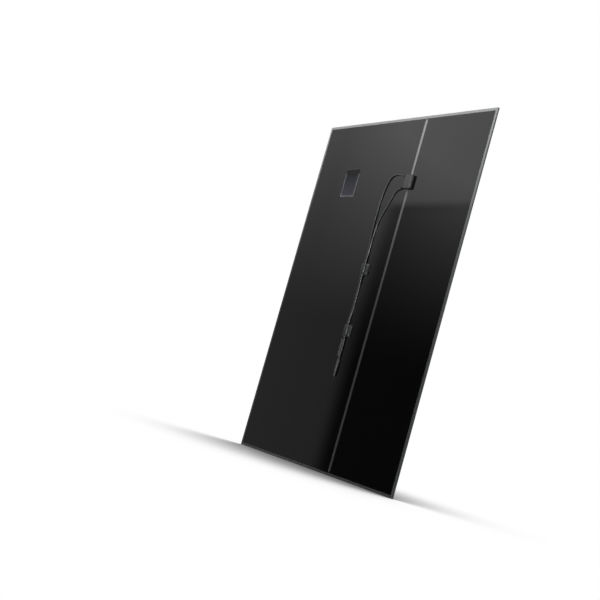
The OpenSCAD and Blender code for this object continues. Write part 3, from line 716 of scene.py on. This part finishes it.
class SOLAR_OT_stage(bpy.types.Operator):
    """Set the camera, the floor, the lamps and the studio round the panel"""

    bl_idname = "solar.stage"
    bl_label = "Stage"

    def execute(self, context):
        scene, settings = context.scene, context.scene.solar_stage
        self.camera(scene, settings)
        self.floor(scene, settings)
        self.lamps(scene, settings)
        self.world(scene, settings)
        scene.view_settings.view_transform = "Standard"
        return {"FINISHED"}

    def camera(self, scene, settings):
        """The camera, turned by its direction, its right side and its upward direction."""
        along = Vector(CAMERA_ALONG).normalized()
        right = along.cross(Vector(CAMERA_UP)).normalized()
        over = right.cross(along)
        turn = Matrix((right, over, -along)).transposed().to_4x4()
        camera = bpy.data.objects.new("camera", bpy.data.cameras.new("camera"))
        camera.data.lens = settings.lens
        camera.data.sensor_width = 36
        camera.matrix_world = Matrix.Translation(CAMERA_PLACE) @ turn
        scene.collection.objects.link(camera)
        scene.camera = camera

    def floor(self, scene, settings):
        """A wide white floor. The camera sees it glowing white, with painted shade from ambient
        occlusion at the panel's foot.
        """
        level = CAD_BOX[0][2]
        sides = [(-1, -1), (1, -1), (1, 1), (-1, 1)]
        mesh = bpy.data.meshes.new("floor")
        mesh.from_pydata(
            [(x * FLOOR_REACH, y * FLOOR_REACH, level) for x, y in sides], [], [(0, 1, 2, 3)])
        # Matt white paper to the lamps; the camera sees a white glow with painted shade from ambient
        # occlusion at the panel's foot
        material, tree = new_material("white_floor_painted_shade")
        near = add(tree, "ShaderNodeAmbientOcclusion", {"Distance": 0.9}, "AO", samples=16)
        # Painted shade: the glow dims where ambient occlusion finds the panel near
        glow = reckon(tree, [
            ("soft", "POWER", near, 2.0),
            ("glow", "SMOOTHSTEP", "soft", 0.2, 0.95, 0.2, 1.0),
        ])
        seen = add(tree, "ShaderNodeLightPath", out="Is Camera Ray")
        lit = add(tree, "ShaderNodeBsdfDiffuse", {"Color": tuple(settings.floor_colour)})
        white = add(tree, "ShaderNodeEmission", {"Strength": glow})
        surface(tree, "ShaderNodeMixShader", {0: seen, 1: lit, 2: white})
        mesh.materials.append(material)
        floor = bpy.data.objects.new("floor", mesh)
        floor.visible_glossy = False
        scene.collection.objects.link(floor)

    def lamps(self, scene, settings):
        """A strip light above the back, a light that grazes it and a soft one before the cells."""
        # Name, power, size, spread in degrees, place and aim
        rows = [
            ("key_light", settings.key_power, (1.8, 0.35), 45, (0.0, 0.65, 1.42), (0.0, 0.0, 0.8)),
            ("fill_light", settings.fill_power, (0.3, 1.2), 70, (-2.6, 0.18, 0.4), (0.0, 0.0, 0.4)),
            ("front_light", settings.front_power, (2.0, 1.2), 180, (-0.6, -1.9, 1.7),
             (0.0, 0.0, 0.1)),
        ]
        for name, power, size, spread, place, aim in rows:
            light = bpy.data.lights.new(name, "AREA")
            light.shape = "RECTANGLE"
            light.size, light.size_y = size
            light.spread = math.radians(spread)
            light.energy = power
            lamp = bpy.data.objects.new(name, light)
            lamp.location = place
            lamp.rotation_mode = "QUATERNION"
            lamp.rotation_quaternion = (Vector(aim) - Vector(place)).to_track_quat("-Z", "Y")
            scene.collection.objects.link(lamp)

    def world(self, scene, settings):
        """White for the camera and through glass, the studio for gloss, and else a plain level."""
        world = bpy.data.worlds.new("studio")
        world.use_nodes = True
        world.cycles.sampling_method = "NONE"
        tree = world.node_tree
        tree.nodes.clear()
        way = add(tree, "ShaderNodeTexCoord", out="Generated")
        across, depth, height = add(tree, "ShaderNodeSeparateXYZ", {0: way}).node.outputs
        studio = reckon(tree, STUDIO, across=across, depth=depth, height=height)
        path = add(tree, "ShaderNodeLightPath").node.outputs
        shown = reckon(tree, [
            ("level", "MIX", path["Is Glossy Ray"], settings.ambient, studio),
            ("direct", "MAXIMUM", path["Is Camera Ray"], path["Is Transmission Ray"]),
            ("shown", "MIX", "direct", "level", 1.0),
        ])
        light = add(tree, "ShaderNodeBackground", {
            "Color": (1.0, 1.0, 1.0, 1.0), "Strength": shown})
        add(tree, "ShaderNodeOutputWorld", {"Surface": light})
        scene.world = world


# Pieces

class SOLAR_OT_laminate(bpy.types.Operator):
    """Finish the two glass sheets and the layers between them"""

    bl_idname = "solar.laminate"
    bl_label = "Laminate"

    def execute(self, context):
        settings = context.scene.solar_laminate
        margin = 1 * MM
        # Glass edge ground with a fine wheel: matt and grey-green, so it catches the light
        ground = moulded(
            "ground_glass_edge", settings.edge_colour, 0.45, 1.0 * MM, 0.05 * MM, ior=1.52)
        # Glass face bonded to the interlayer: no gloss of its own, so it doesn't show
        bonded = clear_layer("bonded_glass_face")
        # Float glass: flat and smooth, so it mirrors sharply
        smooth = glass_over_layers("float_glass_over_layers", settings, [
            ("edge_seal", 0.0, settings.seal_colour), ("cell_film", margin, None),
            ("positive_bus_bar", 0.0, settings.coat_colour),
            ("negative_bus_bar", 0.0, settings.coat_colour),
            ("insulating_tape", 0.0, settings.tape_colour),
            ("positive_foil", 0.0, settings.foil_colour),
            ("negative_foil", 0.0, settings.foil_colour)], 0.02, 0.0)
        # Etched solar glass: a satin sheen, with a black border over the seal
        satin = glass_over_layers("etched_glass_over_cells", settings, [
            ("edge_seal", 0.0, settings.front_border), ("cell_film", margin, None)],
            0.28, 0.05 * MM)
        self.faces("back_glass", smooth, bonded, ground)
        self.faces("front_glass", bonded, satin, ground)
        # Clear laminating foil: once pressed it is invisible
        dress(["encapsulant"], clear_layer("clear_interlayer"))
        # Vapour-deposited absorber: matt and near black, with broad soft clouds
        dress(["cell_film"], laid_in(
            "thin_film_absorber", settings.film_colour, 180 * MM, 0.2))
        # Pressed butyl: an even pale grey, slightly mottled
        dress(["edge_seal"], laid_in("butyl_edge_seal", settings.seal_colour, 9 * MM, 0.05))
        # White-backed polyester tape, pressed flat: pale and even
        dress(["insulating_tape"], laid_in("polyester_tape", settings.tape_colour, 25 * MM, 0.04))
        # Hot-dipped tin on copper ribbon: dull and pale, with soft patches
        dress(["positive_foil", "negative_foil"], laid_in(
            "tinned_copper_ribbon", settings.foil_colour, 6 * MM, 0.08))
        # The same ribbon with a black coat, so that it doesn't show
        dress(["positive_bus_bar", "negative_bus_bar"], laid_in(
            "black_coated_ribbon", settings.coat_colour, 6 * MM, 0.08))
        # Cured black silicone: smooth, with a soft shine
        dress(["hole_seal"], moulded("black_silicone", linear("#141516"), 0.4, 2 * MM, 0.1 * MM))
        return {"FINISHED"}

    def faces(self, name, back, front, edge):
        """Gives a layer's back face, front face and edges their own finishes."""
        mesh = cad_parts[name].data
        mesh.materials.clear()
        for finish in (back, front, edge):
            mesh.materials.append(finish)
        normal = np.zeros(len(mesh.polygons) * 3)
        mesh.polygons.foreach_get("normal", normal)
        facing, flat = normal[1::3], 0.99
        kind = np.where(facing > flat, 0, np.where(facing < -flat, 1, 2)).astype(np.int32)
        mesh.polygons.foreach_set("material_index", kind)


# The junction box: where its layers lie, its centre and its size across and up
LID_BOX, PAD_BOX, GASKET_BOX = (
    np.array(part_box(node)) for node in ("jbox_lid", "jbox_pad", "jbox_gasket"))
BOX_CENTRE = LID_BOX.mean(0)[[0, 2]]
BOX_SIZE = np.ptp(LID_BOX, 0)[[0, 2]]
BOX_RADIUS = 5 * MM
# The two outlets: where each leaves the box's side, and its direction
SPLAY = math.radians(15)
OUTLETS = {
    name: (np.array([LID_BOX[1][0], 9.5 * MM, BOX_CENTRE[1] + side * 22 * MM]),
           np.array([math.cos(SPLAY), 0.0, side * math.sin(SPLAY)]))
    for name, side in (("positive", 1), ("negative", -1))
}
BOSS_LENGTH = 6 * MM
BOSS_RADIUS = 4.5 * MM
# Profile of a strain relief: distance along the outlet and radius
BOOT_PROFILE = np.array([
    (-2.2, 1.3), (-2.2, 3.0), (6.0, 3.0), (6.0, 4.5), (8.5, 4.4), (20.0, 3.45), (22.0, 3.3),
    (22.0, 1.3)]) * MM
# Where its flexing grooves begin and end, their depth, and the radius that they lie beyond
FLEX_START, FLEX_END, FLEX_DEPTH, FLEX_RADIUS = 8.5 * MM, 20 * MM, 0.45 * MM, 2.8 * MM


class SOLAR_OT_box(bpy.types.Operator):
    """Make the junction box, its pad and its lid, and finish what it holds"""

    bl_idname = "solar.box"
    bl_label = "Junction box"

    def execute(self, context):
        settings = context.scene.solar_box
        # Glass-filled polymer from a sparked mould: black, with a fine dull grain
        base_skin = moulded("moulded_box_polymer", settings.base_colour, 0.42, 1.2 * MM, 0.04 * MM)
        # The same polymer, drawn greyer on the lid as painted light on its lit top, and from a
        # smoother mould, with more sheen
        lid_skin = moulded("lid_polymer_painted_lit", settings.lid_colour_painted_lit, 0.36, 1.2 * MM, 0.04 * MM)
        rubber = moulded_rubber()
        self.base(base_skin, settings.ease)
        self.lid(lid_skin, settings.ease)
        self.pad()
        self.boots(rubber, settings.boot_rings)
        dress(["jbox_gasket"], rubber)
        # Poured gel: smooth and dark, with a wet shine
        dress(["jbox_potting"], moulded(
            "potting_gel", linear("#2c2d2e"), 0.25, 3 * MM, 0.1 * MM))
        # Stamped copper alloy: warm and bright, with the streaks of the rolled sheet
        dress(["positive_terminal", "negative_terminal"], bare_metal(
            "stamped_copper_alloy", linear("#b98a57"), 0.35, 0.4 * MM))
        # Drawn copper: redder, with fine streaks along the wire
        dress(["positive_core", "negative_core"], bare_metal(
            "drawn_copper_strand", linear("#b87a4b"), 0.3, 0.3 * MM))
        # Pressed epoxy: black, with a slight shine
        dress(["bypass_diode"], moulded(
            "epoxy_diode_body", linear("#1f2123"), 0.35, 0.8 * MM, 0.03 * MM))
        return {"FINISHED"}

    def base(self, material, ease):
        """An open tray: a wall profile carried round a rounded rectangle, with two outlet bosses.

        The profile runs up the outside to a small rebate, over the rim, down the inside, over
        the floor to the window for the foils and back underneath. A boss is a turned ring.
        """
        low, rim = PAD_BOX[1][1], GASKET_BOX[0][1]
        wall, floor, rebate = 2.2 * MM, low + 2.0 * MM, 0.35 * MM
        window, window_half = 24 * MM, 5 * MM
        profile = eased([
            (0.0, low), (0.0, rim - 2.4 * MM), (rebate, rim - 2.0 * MM), (rebate, rim),
            (wall, rim), (wall, floor), (window, floor), (window, low)], ease, closed=True)
        rings = rounded_rings(BOX_CENTRE, *BOX_SIZE, BOX_RADIUS, profile, least=window_half)
        bosses = [ring_on_axis(origin, way, -1.5 * MM, BOSS_LENGTH, 3.05 * MM, BOSS_RADIUS, 0.5 * MM)
                  for origin, way in OUTLETS.values()]
        make_piece("junction_box_base", [skin(rings, closed=True), *bosses], material, "panel",
                   "jbox_base")

    def lid(self, material, ease):
        """A cover with a rim inside the walls and a raised middle, as rings of one rectangle.

        The profile runs from the underside round the rim, up the edge, over a fine groove and
        up to the raised middle.
        """
        low, high = LID_BOX[:, 1]
        under, edge = GASKET_BOX[1][1], high - 0.8 * MM
        rim_in, rim_out = 4.3 * MM, 2.5 * MM
        profile = eased([
            (12 * MM, under), (rim_in, under), (rim_in, low), (rim_out, low), (rim_out, under),
            (0.0, under), (0.0, edge), (6.0 * MM, edge), (6.5 * MM, edge - 0.35 * MM),
            (7.0 * MM, edge), (8.0 * MM, high), (14 * MM, high)], ease)
        rings = rounded_rings(BOX_CENTRE, *BOX_SIZE, BOX_RADIUS, profile)
        make_piece("junction_box_lid", [skin(rings)], material, "lid", "jbox_lid")

    def pad(self):
        """A bonding bead under the box, as rings of its outline that bulge halfway up."""
        low, high = PAD_BOX[:, 1]
        waist, bulge, inside = 2.2 * MM, 1.3 * MM, 13 * MM
        profile = eased([
            (waist, low), (bulge, (low + high) / 2), (waist, high), (inside, high),
            (inside, low)], 0.4 * MM, closed=True)
        rings = rounded_rings(BOX_CENTRE, *BOX_SIZE, 6 * MM, profile)
        # Cured silicone bead, smooth and slightly shiny
        silicone = moulded("silicone_bead", linear("#202122"), 0.35, 4 * MM, 0.15 * MM)
        make_piece("junction_box_bead", [skin(rings, closed=True)], silicone, "panel",
                   "jbox_pad")

    def boots(self, rubber, grooves):
        """Tapered strain reliefs: a cone on the outlet's axis with flexing grooves round it.

        A groove is one wave of a cosine, taken off the radius.
        """
        def flex(s, r, turn):
            share = np.clip((s - FLEX_START) / (FLEX_END - FLEX_START), 0, 1)
            wave = 0.5 - 0.5 * np.cos(2 * np.pi * grooves * share)
            return np.where(r > FLEX_RADIUS, -FLEX_DEPTH * wave, 0.0) + 0 * turn

        outline = dense(
            eased(BOOT_PROFILE, 0.3 * MM, steps=2, closed=True), 0.35 * MM, closed=True)
        for name, (origin, way) in OUTLETS.items():
            rings = turned_rings(origin, way, outline, 32, flex)
            make_piece(f"{name}_strain_relief", [skin(rings, closed=True)], rubber, "panel",
                       f"{name}_boot")


# Profiles of the connectors, from the nut's back along the axis: distance and radius. The
# housings' are in mm, and so are the places of their grip rings, arms, windows and ring seat.
NUT_PROFILE = np.array([
    (0, 3.05), (0, 5.2), (0.8, 5.9), (18, 5.9), (18, 4.5), (4, 4.5), (4, 3.05)]) * MM
HOUSING_BACK = [(8, 2.1), (8, 4.2), (18.3, 4.2), (18.3, 5.5)]
HOUSING_FRONT = {
    "plug": [(75, 5.5), (75, 4.2), (52, 4.2), (52, 2.1)],
    "socket": [(52, 5.5), (52, 4.0), (75, 4.0), (75, 2.1)],
}
GRIP, GRIP_PITCH, ARM, WINDOW, SEAT = (22, 34), 3, (38, 51), (57, 69), (56.2, 57.8)
# Only the outside of a nut and of a housing lies beyond these radii
NUT_OUTSIDE, HOUSING_OUTSIDE = 5.0 * MM, 5.2 * MM


class SOLAR_OT_connectors(bpy.types.Operator):
    """Make the plug and the socket on the ends of the leads"""

    bl_idname = "solar.connectors"
    bl_label = "Connectors"

    def execute(self, context):
        settings = context.scene.solar_connectors
        # Polyamide from a polished mould: black, with a soft shine
        polyamide = moulded("moulded_polyamide", settings.colour, 0.34, 1.0 * MM, 0.03 * MM)
        for kind in ("plug", "socket"):
            low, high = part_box(f"{kind}_nut")
            origin = np.array([(low[0] + high[0]) / 2, (low[1] + high[1]) / 2, high[2]])
            self.nut(kind, origin, polyamide, settings)
            self.housing(kind, origin, polyamide)
        dress(["plug_grommet", "socket_grommet"], moulded_rubber())
        # Tin plate on a turned contact: pale, slightly warm and softly bright
        dress(["plug_contact", "socket_contact"], bare_metal(
            "tin_plated_contact", linear("#c8c5bb"), 0.28, 0.3 * MM))
        # Moulded silicone ring: red-brown and smooth
        dress(["socket_ring"], moulded(
            "red_brown_seal_ring", linear("#4a2f24"), 0.45, 1 * MM, 0.02 * MM))
        return {"FINISHED"}

    def nut(self, kind, origin, material, settings):
        """A turned cap with grip grooves: its radius falls by a narrow bell at even angles.

        The grooves run out before the front edge.
        """
        def grooves(s, r, turn):
            bell = (0.5 + 0.5 * np.cos(settings.flutes * turn)) ** 6
            fade = np.clip((groove_end - s) / run_out, 0, 1)
            return np.where(r > NUT_OUTSIDE, -settings.flute_depth * bell * fade, 0.0)

        groove_end, run_out = 14.5 * MM, 1.5 * MM
        outline = dense(
            eased(NUT_PROFILE, 0.4 * MM, steps=3, closed=True), 1.0 * MM, closed=True)
        rings = turned_rings(origin, DOWN, outline, settings.flutes * 10, grooves)
        make_piece(f"{kind}_gland_nut", [skin(rings, closed=True)], material,
                   f"{kind}_nut_body", f"{kind}_nut")

    def housing(self, kind, origin, material):
        """A turned body with grip rings, and on two sides sunk latch arms and windows.

        The rings are a cosine along the axis, taken off the radius. The socket's nose has a
        groove for its seal ring.
        """
        def details(s, r, turn):
            s, r = s / MM, r / MM
            waves = 0.5 - 0.5 * np.cos(2 * np.pi * (s - GRIP[0]) / GRIP_PITCH)
            rings = np.where(between(s, GRIP), -0.3 * waves, 0.0)
            two_sides = np.abs(np.sin(turn)) > 0.8
            arm = np.where(between(s, ARM) & two_sides, -0.45, 0.0)
            window = np.where(between(s, WINDOW) & two_sides, -0.7, 0.0)
            outer = np.where(r > HOUSING_OUTSIDE / MM, rings + arm + window, 0.0)
            on_nose = (kind == "socket") & between(r, (3.7, 4.05))
            seat = np.where(on_nose & between(s, SEAT), -0.45, 0.0)
            return (outer + seat) * MM

        corners = np.array([*HOUSING_BACK, *HOUSING_FRONT[kind]]) * MM
        outline = dense(eased(corners, 0.4 * MM, steps=3, closed=True), 0.5 * MM, closed=True)
        rings = turned_rings(origin, DOWN, outline, 48, details)
        make_piece(f"{kind}_body", [skin(rings, closed=True)], material, "panel",
                   f"{kind}_housing")


class SOLAR_OT_leads(bpy.types.Operator):
    """Lay the two leads over the glass, through the clips and into the connectors"""

    bl_idname = "solar.leads"
    bl_label = "Leads"

    def execute(self, context):
        settings = context.scene.solar_leads
        # Extruded cross-linked jacket: black, drawn mid grey as painted highlight, with a long soft
        # real highlight too
        jacket = moulded("cable_jacket_painted_highlight", settings.jacket_colour_painted_highlight, 0.3, 2.5 * MM, 0.06 * MM)
        rows = [
            ("positive", POSITIVE_ROUTE, "plug"),
            ("negative", NEGATIVE_ROUTE, "socket"),
        ]
        for name, route, end in rows:
            path = smooth_route(route, 3 * MM)
            rings = tube_rings(path, settings.diameter / 2, settings.sides)
            lead = make_piece(f"{name}_cable", [skin(rings)], jacket, "panel",
                              f"{name}_lead")
        return {"FINISHED"}


# The clips: thickness of plate and gate, length of gate and rib, and the hinge's axis in X and Y
CLIP_PLATE = 2.2 * MM
GATE_LENGTH = 48 * MM
HINGE = (9.7 * MM, 9.85 * MM)
BARREL_RADIUS = 2.9 * MM
# Middle line of the gate's strip in X and Y, from the hinge over the leads and down to its ledge
GATE_PATH = np.array([(9.7, 14.15), (-10.2, 14.15), (-10.2, 8.1), (-32.0, 8.1)]) * MM
# The finger knobs: place in X and Y, distance from the middle along Z, and number of ribs
KNOB_PLACE, KNOB_REACH, KNOB_RIBS = (-25.9 * MM, 8.9 * MM), 17 * MM, 20
# Profile of a finger knob: distance out of the ledge and radius
KNOB_PROFILE = np.array([(0, 5.5), (1.8, 5.5), (4.5, 4.6), (4.5, 3.0), (4.1, 2.2)]) * MM


class SOLAR_OT_clips(bpy.types.Operator):
    """Make the two hinged cable clips"""

    bl_idname = "solar.clips"
    bl_label = "Cable clips"

    def execute(self, context):
        settings = context.scene.solar_clips
        # Weather-proof polyamide from a grained mould: dark and dull
        base_skin = moulded("grained_clip_polyamide", settings.base_colour, 0.4, 1.2 * MM, 0.04 * MM)
        # The same, drawn greyer on the gate as painted light on its lit face, and from a smoother
        # mould, with a little more sheen
        gate_skin = moulded(
            "gate_polyamide_painted_lit", settings.gate_colour_painted_lit, 0.36, 1.2 * MM, 0.04 * MM)
        # Cut foam tape: dark, open and without shine
        foam = moulded("acrylic_foam_tape", linear("#2b2c2e"), 0.75, 1.5 * MM, 0.1 * MM)
        # Drawn stainless steel: bright, with fine streaks along the pin
        steel = bare_metal("drawn_stainless_steel", linear("#a9abad"), 0.28, 0.3 * MM)
        for name in ("upper", "lower"):
            plate_low, plate_high = np.array(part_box(f"{name}_clip_base"))
            self.pad(name, *np.array(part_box(f"{name}_clip_pad")), foam)
            self.base(name, plate_low, plate_high, base_skin, settings.ease)
            self.gate(name, (plate_low[2] + plate_high[2]) / 2, gate_skin, settings.ease)
            dress([f"{name}_clip_pin"], steel)
        return {"FINISHED"}

    def pad(self, name, low, high, foam):
        """A foam pad under the base, as rings of its outline that bulge halfway up."""
        centre, size = (low + high)[[0, 2]] / 2, (high - low)[[0, 2]]
        inside, waist = 1 * MM, 0.3 * MM
        profile = eased([
            (inside, low[1]), (waist, low[1]), (0.0, (low[1] + high[1]) / 2), (waist, high[1]),
            (inside, high[1])], 0.2 * MM)
        rings = rounded_rings(centre, *size, 2.5 * MM, profile)
        make_piece(f"{name}_clip_foam", [skin(rings)], foam, "panel",
                   f"{name}_clip_pad")

    def base(self, name, low, high, material, ease):
        """A plate with a rib beside the leads, and two hinge barrels, which are rings, on feet."""
        centre, size = (low + high)[[0, 2]] / 2, (high - low)[[0, 2]]
        middle, top = centre[1], low[1] + CLIP_PLATE
        rib_x, rib_width, rib_height = -7.8 * MM, 2 * MM, 2.8 * MM
        foot_width, foot_length, barrel_half = 5.8 * MM, 12 * MM, 6 * MM
        islands = [
            block(centre, *size, 4 * MM, low[1], top, ease),
            block((rib_x, middle), rib_width, GATE_LENGTH, 0.8 * MM, top - ease,
                  top + rib_height, ease),
        ]
        for end in (-1, 1):
            place = middle + end * 17.8 * MM
            islands += [
                block((HINGE[0], place), foot_width, foot_length, 0.6 * MM, top - ease, HINGE[1],
                      ease / 2),
                ring_on_axis((*HINGE, place), UP, -barrel_half, barrel_half, 1.5 * MM,
                             BARREL_RADIUS, ease),
            ]
        make_piece(f"{name}_clip_plate", islands, material, "panel",
                   f"{name}_clip_base")

    def gate(self, name, middle, material, ease):
        """A strip bent over the leads, with a hinge barrel at one end and two finger knobs.

        A knob is a turned shape, ribbed by a cosine round its side.
        """
        def ribs(s, r, turn):
            on_side = between(s, (0.6 * MM, 3.0 * MM)) & (r > 5 * MM)
            wave = 0.5 + 0.5 * np.cos(KNOB_RIBS * turn)
            return np.where(on_side, -0.25 * MM * wave ** 2, 0.0)

        barrel_half, neck_x, neck_width = 11.5 * MM, 8.25 * MM, 2.9 * MM
        path = eased(GATE_PATH, 2.2 * MM, steps=6)
        islands = [
            skin(strip_rings(path, CLIP_PLATE, GATE_LENGTH, middle, ease)),
            ring_on_axis((*HINGE, middle), UP, -barrel_half, barrel_half, 1.56 * MM,
                         BARREL_RADIUS, ease),
            block((neck_x, middle), neck_width, 2 * barrel_half, 0.6 * MM, HINGE[1] + 1.8 * MM,
                  15.0 * MM, ease / 2),
        ]
        knob = dense(eased(KNOB_PROFILE, 1.2 * MM), 0.5 * MM)
        for end in (-1, 1):
            origin = (*KNOB_PLACE, middle + end * KNOB_REACH)
            islands.append(skin(turned_rings(origin, OUT, knob, 3 * KNOB_RIBS, ribs)))
        make_piece(f"{name}_clip_strap", islands, material, f"{name}_gate",
                   f"{name}_clip_gate")


class SOLAR_OT_label(bpy.types.Operator):
    """Stick the bare label on the back glass"""

    bl_idname = "solar.label"
    bl_label = "Label"

    def execute(self, context):
        low, high = np.array(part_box("rating_label"))
        centre, size = (low + high)[[0, 2]] / 2, (high - low)[[0, 2]]
        sheet = block(centre, *size, 3 * MM, low[1], high[1], 0.06 * MM)
        # Printed polyester film: satin, so its bands show without a glare
        film = printed_film(context.scene.solar_label, low, high)
        make_piece("bare_label", [sheet], film, "panel", "rating_label")
        return {"FINISHED"}


class SOLAR_PT_sidebar(bpy.types.Panel):
    """The steps that dress the panel"""

    bl_idname = "SOLAR_PT_sidebar"
    bl_label = "Solar panel"
    bl_space_type = "VIEW_3D"
    bl_region_type = "UI"
    bl_category = "Solar panel"

    def draw(self, context):
        for step in STEPS:
            self.layout.operator(step.bl_idname)


SETTINGS = {
    "solar_stage": SolarStageSettings,
    "solar_laminate": SolarLaminateSettings,
    "solar_box": SolarBoxSettings,
    "solar_leads": SolarLeadSettings,
    "solar_connectors": SolarConnectorSettings,
    "solar_clips": SolarClipSettings,
    "solar_label": SolarLabelSettings,
}
STEPS = [
    SOLAR_OT_stage, SOLAR_OT_laminate, SOLAR_OT_box, SOLAR_OT_connectors, SOLAR_OT_leads,
    SOLAR_OT_clips, SOLAR_OT_label,
]


def register():
    """Registers the settings, the steps and the sidebar."""
    for name, group in SETTINGS.items():
        bpy.utils.register_class(group)
        setattr(bpy.types.Scene, name, PointerProperty(type=group))
    for step in [*STEPS, SOLAR_PT_sidebar]:
        bpy.utils.register_class(step)


def unregister():
    """Takes out what register() put in."""
    for step in [SOLAR_PT_sidebar, *reversed(STEPS)]:
        bpy.utils.unregister_class(step)
    for name, group in reversed(list(SETTINGS.items())):
        delattr(bpy.types.Scene, name)
        bpy.utils.unregister_class(group)


def main():
    """Builds the stage and every piece."""
    register()
    bpy.ops.solar.stage()
    bpy.ops.solar.laminate()
    bpy.ops.solar.box()
    bpy.ops.solar.connectors()
    bpy.ops.solar.leads()
    bpy.ops.solar.clips()
    bpy.ops.solar.label()


if __name__ == "__main__":
    main()
